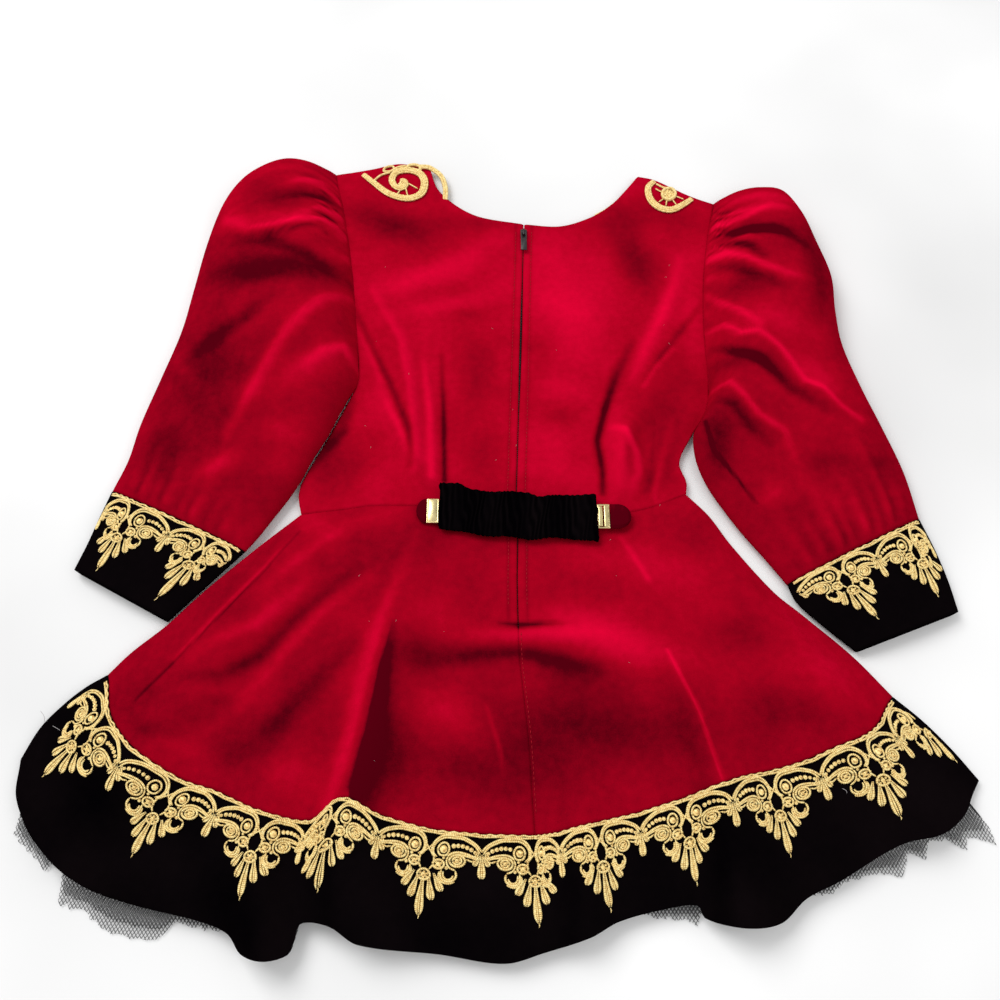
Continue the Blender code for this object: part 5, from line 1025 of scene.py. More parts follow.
def smooth_path(points, step, closed=False):
    """Evenly spaced points of a smooth line through a few points."""
    points = np.array(points, float)
    if closed:
        points = np.concatenate([points[-2:], points, points[:3]])
    line = Line(points)
    count = max(4, int(math.ceil(line.marks[-1] / step)))
    if not closed:
        return line.at(np.linspace(0, 1, count + 1))
    first, last = line.marks[2] / line.marks[-1], line.marks[-3] / line.marks[-1]
    count = max(7, int(math.ceil((line.marks[-3] - line.marks[2]) / step)))
    return line.at(np.linspace(first, last, count + 1)[:-1])


# A petal: points along it, then shares of its length and width where it begins and is widest
PETAL_POINTS = 10
PETAL_ROOT = 0.30
PETAL_WIDEST = 0.85
PETAL_END = [0.86, 0.42]        # how much its last two points are narrowed
PETAL_FLATNESS = 0.62
PETAL_THINNEST = 0.3
PETAL_UNEVEN = 0.7
# Its parts, side by side: side, share of its half width, thickness share, height above the cloth
PETAL_LANES = [(0, 0.0, 0.30, 0.2), (1, 0.72, 0.40, 0.7), (-1, 0.72, 0.40, 0.7)]


def petal_outline(root, end, width):
    """Centre points and half widths along a drop-shaped petal."""
    root, end = np.array(root, float), np.array(end, float)
    shares = np.linspace(0, 1, PETAL_POINTS)
    centre = root + (end - root) * shares[:, None]
    half = width * (PETAL_ROOT + (1 - PETAL_ROOT) * ease(shares / PETAL_WIDEST))
    half[-2:] *= PETAL_END
    return centre, half


LACE_STEP = 1.35            # between the points of a cord
LACE_TOP_LIFT = 0.5         # of the cords that cross over others
LACE_AXIS_LIFT = 0.2


def lace_depth(depth):
    """The real depth on the cloth of a depth in the lace's tables."""
    planned, real = np.array(LACE_DEPTHS).T
    return np.interp(depth, planned, real)


def lace(name, marks, sizes, surface, node):
    """Lace of cords, beads and petals. The surface gives the point and the normal for a
    place between two marks, a depth and a height above the cloth, and sizes are the lengths
    between the marks in millimetres."""
    heap = Heap()
    wobble = random.Random(name)

    def cord(points, radius, closed, locate, lift):
        path = smooth_path(points, LACE_STEP, closed)
        spots, normals = locate(path[:, 0], path[:, 1], radius * 0.9 + LACE_BASE + lift)
        heap.tube(spots, normals, radius * wobble.uniform(0.93, 1.07), closed=closed)

    def beads(rows, locate):
        for distance, depth, radius in rows:
            spots, normals = locate(np.array([distance]), np.array([depth]), LACE_BASE * 0.6)
            heap.bead(spots[0], normals[0], radius * wobble.uniform(0.9, 1.1))

    def petals(rows, locate):
        for root_d, root_depth, end_d, end_depth, width in rows:
            end_depth += wobble.uniform(-PETAL_UNEVEN, PETAL_UNEVEN)
            centre, half = petal_outline((root_d, root_depth), (end_d, end_depth), width)
            way = np.array([end_d - root_d, end_depth - root_depth])
            way /= np.linalg.norm(way)
            cross = np.array([-way[1], way[0]])
            for lane, share, thick, lift in PETAL_LANES:
                lane_path = centre + cross * (half * share * lane)[:, None]
                size = np.maximum(half * thick, PETAL_THINNEST)
                spots, normals = locate(lane_path[:, 0], lane_path[:, 1], lift + LACE_BASE)
                heap.tube(spots, normals, size, flat=PETAL_FLATNESS)

    for index in range(len(marks) - 1):
        fan_first = index % 2 == 1

        def locate(distance, depth, height, index=index, fan_first=fan_first):
            share = distance / HALF_REPEAT
            return surface(index + (share if fan_first else 1 - share), lace_depth(depth), height)

        for number, (points, radius, closed) in enumerate(LACE_CORDS):
            cord(points, radius, closed, locate, LACE_TOP_LIFT if number in LACE_CORDS_ON_TOP else 0.0)
        beads(LACE_BEADS, locate)
        petals(LACE_SIDE_PETALS, locate)
        axis = index if fan_first else index + 1

        before, after = sizes[max(axis - 1, 0)], sizes[min(axis, len(sizes) - 1)]

        def on_axis(distance, depth, height, axis=axis, before=before, after=after):
            share = distance * FAN_SIZE / np.where(distance < 0, before, after)
            return surface(axis + share, lace_depth(depth), height)

        if fan_first or index + 1 == len(marks) - 1:
            for points, radius, closed in LACE_AXIS_CORDS:
                cord(points, radius, closed, on_axis, LACE_AXIS_LIFT)
            beads(LACE_AXIS_BEADS, on_axis)
            petals(FAN_PETALS, on_axis)
        if not fan_first:
            def on_trefoil(distance, depth, height, index=index):
                return surface(index + distance / HALF_REPEAT, lace_depth(depth), height)
            petals(LACE_TREFOIL_PETALS, on_trefoil)
    heap.make(name, GOLD, node, "gold_lace")


class Patch:
    """Points and upward normals of a surface, sampled once over two ranges and read between."""

    def __init__(self, function, first_range, second_range, first_count, second_count):
        self.ranges = (first_range, second_range)
        self.counts = (first_count, second_count)
        grid = np.meshgrid(np.linspace(*first_range, first_count), np.linspace(*second_range, second_count),
                           indexing="ij")
        points = function(*grid)
        normals = np.cross(np.gradient(points, axis=0), np.gradient(points, axis=1))
        normals *= np.where(normals[..., 2:] < 0, -1.0, 1.0)
        normals /= np.maximum(np.linalg.norm(normals, axis=-1, keepdims=True), 1e-9)
        self.values = np.concatenate([points, normals], axis=-1)

    def at(self, first, second):
        places = []
        for value, (low, high), count in zip((first, second), self.ranges, self.counts):
            place_in = np.clip((value - low) / (high - low), 0.0, 1.0) * (count - 1)
            start = np.minimum(place_in.astype(int), count - 2)
            places.append((start, (place_in - start)[..., None]))
        (row, row_part), (column, column_part) = places
        near = between(self.values[row, column], self.values[row, column + 1], column_part)
        far = between(self.values[row + 1, column], self.values[row + 1, column + 1], column_part)
        found = between(near, far, row_part)
        return found[..., :3], found[..., 3:]


def across_at(x, down):
    """The share across the skirt whose plan point has this x."""
    shares = np.linspace(0, 1, 4001)
    return float(np.interp(x, skirt_plan(shares, down)[:, 0], shares))


LACE_BAND_LENGTH = 76.0     # of the band where the lace's tips are placed
LACE_INSET = 0.006          # share of the width that stays free at each side
LACE_TOP = -0.8             # the least depth that a cord reaches


def hem_lace():
    tip_down = 1.0 + LACE_DEPTH / LACE_BAND_LENGTH
    marks = np.array([(across_at(seam_x, 1.0), across_at(tip_x, tip_down))
                      for seam_x, tip_x in HEM_LACE_MARKS])
    marks[0], marks[-1] = 0.0, 1.0
    order = np.arange(len(marks))
    face = Patch(skirt_outer, (0.0, 1.0), (1.0, 2.0), 1400, 60)
    shares = np.linspace(0, 1, 400)
    lengths = np.linalg.norm(skirt_plan(shares, 2.0) - skirt_plan(shares, 1.0), axis=-1)

    def surface(place_along, depth, height):
        place_along = np.clip(place_along, 0, len(marks) - 1)
        seam_across = np.interp(place_along, order, marks[:, 0])
        tip_across = np.interp(place_along, order, marks[:, 1])
        across = between(seam_across, tip_across, np.maximum(depth, 0.0) / LACE_DEPTH)
        across = between(LACE_INSET, 1 - LACE_INSET, across)
        below = np.maximum(depth, LACE_TOP) * HEM_LACE_SHORTER + HEM_LACE_DROP
        down = np.minimum(1.0 + below / np.interp(across, shares, lengths), 1.99)
        points, normals = face.at(across, down)
        return points + normals * height, normals

    middle = skirt_plan(np.mean(marks, axis=1), HEM_LACE_MIDDLE)
    sizes = np.linalg.norm(np.diff(middle, axis=0), axis=1)
    lace("hem_lace_gold", marks, sizes, surface, "hem_lace")


# Sleeves

SLEEVE_RINGS = 150
CUFF_RINGS = 36
SLEEVE_BACK_POINTS = 84
SLEEVE_UNDER_POINTS = 26
SLEEVE_TIP_WALL = 2.4
OUTER_FULLNESS = 0.8
INNER_FULLNESS = 1.1
UNDER_FLATNESS = 2.3        # how soon the underside comes down to the surface
CREASE_SIDE_FADE = 0.12     # share of the width over which creases fade at each side
CREASE_CUFF_FADE = 0.6      # rows over which they fade before the cuff
LEAST_HOLLOW = 0.4          # between the inner faces
GATHER_SLANT = (0.012, 11.0)        # how far the cap's gathers swing in each row, pace across
# Painted light and shade on the sleeves from their slope along their length
SLOPE_SHADING = 0.10            # brightness for each millimetre of height between two rings
SLOPE_SHADING_MOST = 0.25
GATHER_SHADING_MIDDLE = 0.06
GATHER_SHADING_MOST = 0.35
UNDERSIDE_NAP = -0.1
CAP_GATHERS = [             # share of the armhole, height, width, reach in rows of the sleeve's table
    (0.050, 1.6, 0.012, 3.0), (0.095, 2.6, 0.013, 4.6), (0.135, 1.8, 0.010, 2.2), (0.175, 3.4, 0.016, 5.2),
    (0.225, 2.2, 0.011, 2.6), (0.265, 3.0, 0.015, 3.8), (0.305, 2.4, 0.011, 2.0), (0.350, 3.4, 0.018, 4.4),
    (0.405, 1.8, 0.013, 1.8), (0.450, 1.6, 0.020, 3.0), (0.530, 0.8, 0.020, 1.6), (0.640, 1.0, 0.028, 2.4),
    (0.780, 0.8, 0.030, 1.8),
]
CUFF_GATHERS = [
    (0.10, 1.0, 0.026, 2.2), (0.20, 1.7, 0.020, 3.0), (0.29, 0.9, 0.018, 1.6), (0.38, 1.6, 0.026, 2.4),
    (0.50, 1.0, 0.020, 1.8), (0.58, 1.6, 0.026, 3.0), (0.70, 1.1, 0.024, 2.0), (0.80, 1.4, 0.026, 2.6),
    (0.91, 0.7, 0.020, 1.8),
]


def gathers(table, share, away):
    """Height of the gathers of one edge, at a share along it and some rows away from it."""
    total = 0.0
    for middle, height, width, reach in table:
        fade = np.maximum(0.0, 1 - away / reach) ** 1.3 * ease(away / 0.4)
        spread = width * (1 + 0.35 * away)
        total = total + height * fade * np.exp(-((share - middle) / spread) ** 2)
    return total


def sleeve_gathers(share, row, last):
    """Height of the gathers at both ends of a sleeve."""
    rounded = np.sqrt(np.clip(4 * share * (1 - share), 0.0, 1.0))
    slant = GATHER_SLANT[0] * row * np.sin(share * GATHER_SLANT[1])
    return rounded * (gathers(CAP_GATHERS, share + slant, row) + gathers(CUFF_GATHERS, share, last - row))


def sleeve_surface(table, share, row, wall=0.0, creases=(), gathered=True):
    """Points over and under a sleeve at a share across it and a row of its table."""
    line = np.array(table, float)
    last = len(line) - 1
    row = np.clip(row, 0, last)
    span = np.clip(row.astype(int), 0, last - 1)
    part = (row - span)[..., None]
    before, after = line[np.maximum(span - 1, 0)], line[np.minimum(span + 2, last)]
    start, end = line[span], line[span + 1]
    leave = np.where((span > 0)[..., None], (end - before) / 2, end - start)
    arrive = np.where((span < last - 1)[..., None], (after - start) / 2, end - start)
    values = smooth_between(start, end, leave, arrive, part)
    outer, inner = values[..., 0:2], values[..., 2:4]
    crown, edge, bow = values[..., 4], values[..., 5], values[..., 6]
    way = inner - outer
    length = np.linalg.norm(way, axis=-1)
    normal = np.stack([-way[..., 1], way[..., 0]], axis=-1) / length[..., None]
    tip = SLEEVE_TIP_WALL / length if wall else 0.0
    share = between(tip, 1 - tip, share)
    turn = np.arccos(np.clip(1 - 2 * share, -1, 1))
    power = between(OUTER_FULLNESS, INNER_FULLNESS, ease((share - 0.4) / 0.2))
    rounded = np.sin(turn)
    under = edge * np.maximum(0.0, 1 - UNDER_FLATNESS * rounded)
    over = edge + (crown - edge) * rounded ** power
    point = outer + way * share[..., None] + normal * (bow * np.sin(math.pi * share))[..., None]
    if gathered:
        over = over + sleeve_gathers(share, row, last)
    soft = ease(np.minimum(share, 1 - share) / CREASE_SIDE_FADE) * ease(row)
    soft = soft * ease((last - row) / CREASE_CUFF_FADE)
    if creases:
        over = over + soft * relief(point[..., 0], point[..., 1], creases)
        over = over + soft * ripple(point[..., 0], point[..., 1], *SLEEVE_RIPPLE)
    middle = (under + over) / 2
    if wall:
        over = np.maximum(over - wall, middle + LEAST_HOLLOW / 2)
        under = np.minimum(under + wall, middle - LEAST_HOLLOW / 2)
    return point, over, under


def eased_shares(steps, count):
    """Shares from 0 to 1 that lie closer together toward both ends."""
    return (1 - np.cos(math.pi * np.arange(count) / steps)) / 2


def sleeve_rings(table, rows, wall, creases, gathered):
    """Closed rings from the outer edge over the back to the inner edge and under."""
    back = eased_shares(SLEEVE_BACK_POINTS, SLEEVE_BACK_POINTS + 1)
    under = 1 - eased_shares(SLEEVE_UNDER_POINTS, SLEEVE_UNDER_POINTS)[1:]
    row_grid, share_grid = np.meshgrid(rows, np.concatenate([back, under]), indexing="ij")
    point, high, low = sleeve_surface(table, share_grid, row_grid, wall, creases, gathered)
    is_back = np.arange(len(back) + len(under)) <= SLEEVE_BACK_POINTS
    height = np.where(is_back[None, :], high, low)
    if wall:
        for index in (0, SLEEVE_BACK_POINTS):
            height[:, index] = (high[:, index] + low[:, index]) / 2
    return np.dstack([point, height]), np.broadcast_to(is_back, height.shape)


def sleeve(node, table, count, creases, material, slot, patches, lines):
    """A sleeve or a cuff, a closed wall; only a sleeve has creases and gathers."""
    rows = np.linspace(0, len(table) - 1, count)
    outer, is_back = sleeve_rings(table, rows, 0.0, creases, bool(creases))
    inner = sleeve_rings(table, rows, SHELL, creases, bool(creases))[0]
    columns = outer.shape[1]
    points = np.concatenate([outer, inner[::-1]]).reshape(-1, 3)
    faces = grid_faces(2 * count, columns, True)
    last = (2 * count - 1) * columns
    faces += [(last + index, index, (index + 1) % columns, last + (index + 1) % columns)
              for index in range(columns)]
    corners = points[np.array(faces[columns * 3: columns * 3 + SLEEVE_BACK_POINTS])]
    if np.cross(corners[:, 1] - corners[:, 0], corners[:, 3] - corners[:, 0])[:, 2].sum() < 0:
        faces = [face[::-1] for face in faces]
    made = make_object(node + "_velvet", place(points), faces, material, node, slot)
    nap_and_shading = np.where(is_back, nap_and_shading_at(outer[..., 0], outer[..., 1], patches, lines), UNDERSIDE_NAP)
    # Painted light and shade from the slope between rings
    slope = np.gradient(outer[..., 2], axis=0) * SLOPE_SHADING
    nap_and_shading = nap_and_shading + np.clip(slope, -SLOPE_SHADING_MOST, SLOPE_SHADING_MOST)
    if creases:
        share = eased_shares(SLEEVE_BACK_POINTS, SLEEVE_BACK_POINTS + 1)
        lifted = sleeve_gathers(share[None, :], rows[:, None], len(table) - 1)
        # Painted highlights on the gathers' tops and painted shade by the way that they lean
        lean = np.gradient(lifted, axis=1) * GATHER_LEAN_SHADING + lifted * GATHER_HIGHLIGHT
        lean = np.clip(lean - GATHER_SHADING_MIDDLE, -GATHER_SHADING_MOST, GATHER_SHADING_MOST)
        nap_and_shading[:, :SLEEVE_BACK_POINTS + 1] += lean + SLEEVE_NAP_BASE
    set_nap_and_shading(made, np.concatenate([nap_and_shading, nap_and_shading[::-1]]))


def sleeves_and_cuffs():
    for side, table, creases in (("left", LEFT_SLEEVE, LEFT_SLEEVE_CREASES),
                                 ("right", RIGHT_SLEEVE, RIGHT_SLEEVE_CREASES)):
        sleeve("sleeve_" + side, table, SLEEVE_RINGS, creases, RED, "red_velvet",
               SLEEVE_NAP_AND_SHADING, SLEEVE_CREASE_SHADING)
    for side, table in (("left", LEFT_CUFF), ("right", RIGHT_CUFF)):
        sleeve("cuff_" + side, table, CUFF_RINGS, (), BLACK, "black_velvet", [], [])


CUFF_LACE_END = 0.985       # share of the cuff's length past which no lace lies
CUFF_MIDDLE_ROW = 1.5


def cuff_lace(side, table, marks):
    outer = Line([row[:2] for row in table])

    def cuff_face(share, row):
        point, over, _ = sleeve_surface(table, share, row, gathered=False)
        return np.dstack([point, over])

    face = Patch(cuff_face, (0.0, 1.0), (0.0, len(table) - 1.0), 300, 60)

    def surface(place_along, depth, height):
        share = np.interp(np.clip(place_along, 0, len(marks) - 1), np.arange(len(marks)), marks)
        down = (depth * CUFF_LACE_SHORTER + CUFF_LACE_DROP) / outer.marks[-1]
        down = np.clip(down, 0.0, CUFF_LACE_END)
        row = np.interp(down, outer.marks / outer.marks[-1], np.arange(len(table)))
        points, normals = face.at(share, row)
        return points + normals * height, normals

    ends = face.at(np.array([0.0, 1.0]), np.full(2, CUFF_MIDDLE_ROW))[0]
    sizes = np.diff(marks) * np.linalg.norm(ends[1] - ends[0])
    lace("cuff_lace_" + side + "_gold", marks, sizes, surface, "cuff_lace_" + side)


# The cloth pieces

SKIRT_ROWS = 104
SKIRT_COLUMNS = 150         # of each half
BAND_ROWS = 40
BAND_COLUMNS = 330
BODICE_ROWS = 124
BODICE_COLUMNS = 86         # of each half
EDGE_ROLL = 2.2
OPEN_EDGE_DROP = 0.7        # of the edges beside the zip
CLOSED_EDGE_DROP = 0.2      # and of the closed seam below it
BAND_EDGE_DROPS = ((0, 0.9), (1, 0.4), (-2, 0.4), (-1, 1.0))        # row, drop
BODICE_EDGE_DROPS = ((-1, 0.9), (-2, 0.3), (0, SEAM_DIP))
# How much the way that the cloth leans tells in painted light and shade, toward the hem and to the side
LEAN_DOWN = 0.8
LEAN_SIDE = 0.5
LEAN_MOST = 0.4
SKIRT_LEAN = 0.26
BAND_LEAN = 0.5
BODICE_LEAN = -0.2
ZIP_SPREAD_RANGE = (0.3, 0.8)       # shares of the bodice's height between which the slit stands wider


def edge_drop(distance, depth):
    """How far a turned edge curves down at a distance from it."""
    return depth * np.maximum(0.0, 1 - distance / EDGE_ROLL) ** 2


def slope_shading(points, factor):
    """Painted light and shade from the way that the cloth leans: brighter where it faces the hem."""
    down, side = (-np.gradient(points[..., 2], axis=axis) / np.maximum(
        np.linalg.norm(np.gradient(points[..., :2], axis=axis), axis=-1), 0.05) for axis in (0, 1))
    return np.clip(factor * (down * LEAN_DOWN + side * LEAN_SIDE), -LEAN_MOST, LEAN_MOST)


def back_skirt():
    for side, turn, centre in (("left", -1, -1), ("right", 1, 0)):
        start = 0.0 if side == "left" else 0.5
        down_grid, across_grid = np.meshgrid(np.linspace(0.0, 1.0, SKIRT_ROWS),
                                             np.linspace(start, start + 0.5, SKIRT_COLUMNS), indexing="ij")
        points = skirt_outer(across_grid, down_grid)
        x, y = points[..., 0], points[..., 1]
        # Nap with painted light and shade from folds, creases and slope, and the pressed stitching
        nap_and_shading = (nap_and_shading_at(x, y, SKIRT_NAP_AND_SHADING, SKIRT_CREASE_SHADING) + slope_shading(points, SKIRT_LEAN)
               + SKIRT_NAP_BASE + zip_stitch_nap(x, y))
        points[:, centre, 0] += turn * np.where(y[:, centre] > ZIP_END_Y, ZIP_SLIT / 2, SEAM_GAP)
        edge = np.abs(x - x[:, centre][:, None])
        points[..., 2] -= edge_drop(edge, np.where(y > ZIP_END_Y, OPEN_EDGE_DROP, CLOSED_EDGE_DROP))
        points[0, :, 2] -= SEAM_DIP
        shell("skirt_back_" + side + "_velvet", points, nap_and_shading, RED, "skirt_back_" + side, "red_velvet")


def back_band():
    across = np.linspace(0.0, 1.0, BAND_COLUMNS)
    down = np.concatenate([[1.001, 1.004], np.linspace(1.012, 1.97, BAND_ROWS), [1.985, 1.996, 2.0]])
    down_grid, across_grid = np.meshgrid(down, across, indexing="ij")
    points = skirt_outer(across_grid, down_grid)
    x, y = points[..., 0], points[..., 1]
    # Painted sheen and shade of the band from its slope and patches, with random ripples
    nap_and_shading = slope_shading(points, BAND_LEAN) + ripple(x, y, *BAND_NAP_RIPPLE) + nap_and_shading_at(x, y, BAND_SHEEN_AND_SHADING, [])
    for row, drop in BAND_EDGE_DROPS:
        points[row, :, 2] -= drop
    shell("hem_band_back_velvet", points, nap_and_shading, BLACK, "hem_band_back", "black_velvet")


ZIP_STITCH_NAP = -0.16
ZIP_STITCH_WIDTH = 1.3
ZIP_STITCH_FADE = 8.0


def zip_stitch_nap(x, y):
    """The two pressed lines of stitching beside the zip."""
    away = np.abs(x - centre_x(y)) - STITCH_OFFSET
    return ZIP_STITCH_NAP * np.exp(-(away / ZIP_STITCH_WIDTH) ** 2) * ease((y - ZIP_END_Y) / ZIP_STITCH_FADE)


def back_bodice():
    for side, turn in (("left", -1), ("right", 1)):
        up = np.linspace(0.0, 1.0, BODICE_ROWS)
        up_grid, across_grid = np.meshgrid(up, np.linspace(0.0, 1.0, BODICE_COLUMNS), indexing="ij")
        points = bodice_outer(side, across_grid, up_grid)
        x, y = points[..., 0], points[..., 1]
        # Nap with painted light and shade from creases and slope, and the pressed stitching
        nap_and_shading = (nap_and_shading_at(x, y, BODICE_NAP_AND_SHADING, BODICE_CREASE_SHADING) + slope_shading(points, BODICE_LEAN)
               + BODICE_NAP_BASE + zip_stitch_nap(x, y))
        spread = np.sin(math.pi * np.clip((up - ZIP_SPREAD_RANGE[0]) / np.ptp(ZIP_SPREAD_RANGE), 0, 1))
        points[:, 0, 0] += turn * (ZIP_SLIT + ZIP_SPREAD * spread) / 2
        points[..., 2] -= edge_drop(np.abs(x - x[:, :1]), OPEN_EDGE_DROP)
        for row, drop in BODICE_EDGE_DROPS:
            points[row, :, 2] -= drop
        shell("bodice_back_" + side + "_velvet", points, nap_and_shading, RED, "bodice_back_" + side, "red_velvet")


FRONT_BAND_FOOT = 1.85
FRONT_BODICE_INSET = 0.99
FRONT_NECK_WIDTH = 0.6      # share of half the bodice over which the front neck comes up


def front_bodice_points(column, up):
    """Plan points of the front bodice above the skirt's columns."""
    centre = LINES["waist"].share_at_x(CENTRE_BACK[0][0])
    at_waist = np.interp(column, GUIDES[:, 0], GUIDES[:, 1])
    on_left = at_waist < centre
    across = np.where(on_left, (centre - at_waist) / centre, (at_waist - centre) / (1 - centre))
    inset = between(1.0, FRONT_BODICE_INSET, np.minimum(1.0, up * 4))
    plan = np.where(on_left[..., None], bodice_plan("left", across * inset, up),
                    bodice_plan("right", across * inset, up))
    drop = FRONT_NECK_DROP * (1 - ease(across / FRONT_NECK_WIDTH)) * up ** 2
    return plan[..., 0], plan[..., 1] - drop


def fronts():
    """The front panels, flat on the surface below with their outer face down."""
    columns = np.linspace(0.0, 1.0, 150)
    jobs = (
        ("bodice_front", np.linspace(0.0, 1.0, 60), RED, "red_velvet"),
        ("skirt_front", np.linspace(0.003, 0.9985, 50), RED, "red_velvet"),
        ("hem_band_front", np.linspace(1.004, FRONT_BAND_FOOT, 22), BLACK, "black_velvet"),
    )
    for name, rows, material, slot in jobs:
        row_grid, column_grid = np.meshgrid(rows, columns, indexing="ij")
        if name == "bodice_front":
            x, y = front_bodice_points(column_grid, row_grid)
        else:
            plan = skirt_plan(column_grid, row_grid)
            x, y = plan[..., 0], plan[..., 1]
        nap_and_shading = sum(ripple(x, y, *row) for row in FRONT_NAP_RIPPLES)
        shell(name + "_velvet", np.dstack([x, y, 0.0 * x]), nap_and_shading, material, name, slot, up=False)


# How far the petticoat shows past the hem: (share across, reach in millimetres)
NET_REACH = [
    (0.0, -6), (0.030, -4), (0.040, 11), (0.060, 8), (0.075, 9), (0.080, -1), (0.088, 2), (0.095, 15),
    (0.115, 12), (0.138, 19), (0.165, 16), (0.172, 4), (0.2, 3), (0.21, -4), (0.60, -6), (0.65, 4),
    (0.70, 12), (0.708, -4), (0.80, -4), (0.83, 5), (0.845, 3), (0.87, 8), (0.89, 19), (0.905, 6),
    (0.915, 13), (0.927, 0), (0.940, 4), (0.950, 16), (0.958, 12), (0.972, 27), (0.980, 14), (1.0, 8),
]
PETTICOAT_ROWS = np.concatenate([np.linspace(0.2, 1.4, 22), np.linspace(1.45, 1.86, 10)])
PETTICOAT_FULLNESS = 0.5
PETTICOAT_DROP = 1.5
PETTICOAT_SIDES = (0.035, 0.978)
PETTICOAT_COLUMNS = 300
NET_FLOOR_GAP = 0.4
NET_JAGS = 1.6              # how much the net's torn points differ
NET_JAGS_SEED = 7
NET_PLEAT = 0.35            # height of the net's fine pleats
NET_PLEAT_PACE = 1.9        # turn from one column to the next
NET_END_HEIGHT = 0.9        # of the net that shows past the hem
NET_END_SLOPE = 6.0         # how far past the hem it takes to come down to that height
BAND_LENGTH = 75.0          # of the hem band below the seam
UPPER_NET_REACH = 0.62
UPPER_NET_LIFT = 1.3
# The last rings: how far down the back layer ends, how far the front layer may reach and ends before
# the net's own edge, and how much of the fall past the hem is done
NET_LAST_RINGS = [(1.9, 1.95, 0.05, 0.0), (1.955, 1.99, 0.0, 0.5), (1.985, np.inf, 0.0, 1.0)]


def petticoat():
    """A flattened tube of gathered net, its back layer in the skirt's folds."""
    columns = np.linspace(*PETTICOAT_SIDES, PETTICOAT_COLUMNS)
    dice = random.Random(NET_JAGS_SEED)
    reach = np.interp(columns, *np.array(NET_REACH, float).T)
    jagged = np.array([dice.uniform(-1, 1) for _ in columns])
    reach = np.where(reach > 0, reach + NET_JAGS * jagged, reach)
    foot = 2.0 + reach / BAND_LENGTH
    rest = CAD_WALL + LAYER_GAP
    pleats = NET_PLEAT * np.sin(np.arange(PETTICOAT_COLUMNS) * NET_PLEAT_PACE)
    rings = []
    for down, limit, short, past in [(row, row, 0.0, 0.0) for row in PETTICOAT_ROWS] + NET_LAST_RINGS:
        top = skirt_outer(columns, down, False)
        top[:, 2] -= (1 - PETTICOAT_FULLNESS) * relief(top[:, 0], top[:, 1]) + rest + PETTICOAT_DROP
        top[:, 2] = np.maximum(top[:, 2] + pleats, rest + 2 * NET_WALL + NET_FLOOR_GAP)
        fall = ease(past * np.maximum(reach, 0) / NET_END_SLOPE)
        low_z = between(rest, NET_END_HEIGHT, fall)
        low = np.column_stack([skirt_plan(columns, np.minimum(limit, foot - short)), low_z])
        rings.append(np.concatenate([top, low[::-1]]))
    # Past the hem the back layer shows too, a little shorter than the one under it
    upper_reach = 2.0 + np.maximum(reach, 0) * UPPER_NET_REACH / BAND_LENGTH
    past_top = np.column_stack([skirt_plan(columns, upper_reach), low_z + UPPER_NET_LIFT])
    rings[-1][:PETTICOAT_COLUMNS] = np.where((reach > 0)[:, None], past_top, top)
    points = np.array(rings)
    faces = grid_faces(points.shape[0], points.shape[1], True)
    make_object("petticoat_net", place(points.reshape(-1, 3)), faces, NET, "petticoat", "black_net")


# Trims on the back

UPWARD = (0.0, 0.0, 1.0)


def back_height(x, y):
    """Height of the back's outer face away from its sides."""
    below_waist = np.maximum(0.0, CENTRE_BACK[0][1] - y)
    rise = between(BODICE_RISE, SKIRT_RISE, ease(below_waist / SKIRT_RISE_LENGTH))
    fine = np.where(y > CENTRE_BACK[0][1], relief(x, y, BODICE_CREASES) + ripple(x, y, *BODICE_RIPPLE),
                    relief(x, y, SKIRT_CREASES) + ripple(x, y, *SKIRT_RIPPLE))
    return EDGE_HEIGHT + rise + relief(x, y) + fine


def on_back(path, lift):
    """Points on the back above a plan path, and the way up."""
    path = np.asarray(path, float)
    return np.column_stack([path, back_height(path[:, 0], path[:, 1]) + lift]), UPWARD


CORD_STEP = 0.9
CORD_SIDES = 7
CORD_LIFT = 0.4
CORD_END = 0.70         # a thick cord's size at its ends, as a share
CORD_THICK = 1.5        # a cord of this radius or more has four plies
PLY_SPREAD = 0.47
# Its plies: place from the middle, height, both as shares of the radius
PLIES = [(-1.5, 0.26), (-0.5, 0.42), (0.5, 0.42), (1.5, 0.26)]
PLY_RADIUS = (0.29, 0.05)       # share of the cord's radius, and how much it swells
PLY_TWIST = 1.9         # turn of that swelling from one point to the next


def crosswise(path):
    """The direction across a plan path, to its left, at each of its points."""
    way = np.gradient(path, axis=0)
    way /= np.linalg.norm(way, axis=1, keepdims=True)
    return np.column_stack([-way[:, 1], way[:, 0]])


def corded(heap, points, radius):
    """A cord on the cloth; a thick one has four plies and is thinner at both ends."""
    path = smooth_path(points, CORD_STEP)
    if radius < CORD_THICK:
        heap.tube(*on_back(path, radius * 0.8 + CORD_LIFT), radius, CORD_SIDES)
        return
    cross = crosswise(path)
    radius = radius * (CORD_END + (1 - CORD_END) * np.sin(np.linspace(0, math.pi, len(path))))
    for lane, lift in PLIES:
        twist = np.sin(np.arange(len(path)) * PLY_TWIST + 2 * lane)
        beaded = radius * (PLY_RADIUS[0] + PLY_RADIUS[1] * twist)
        lane_path = path + cross * (lane * radius * PLY_SPREAD)[:, None]
        heap.tube(*on_back(lane_path, CORD_LIFT + radius * lift), beaded, CORD_SIDES)


LOOP_SPREAD = 1.05      # of the loose loop's two strands from its middle
LOOP_RADIUS = 1.25
LOOP_HEIGHTS = [(0.0, 7.6), (0.25, 5.4), (1.0, 4.6)]        # share of its length, height
NECK_TRIM_HEIGHT = 3.2
NECK_TRIM_RADIUS = 0.8
ROSETTE_BEAD = 1.3
ROSETTE_LIFT = 0.9
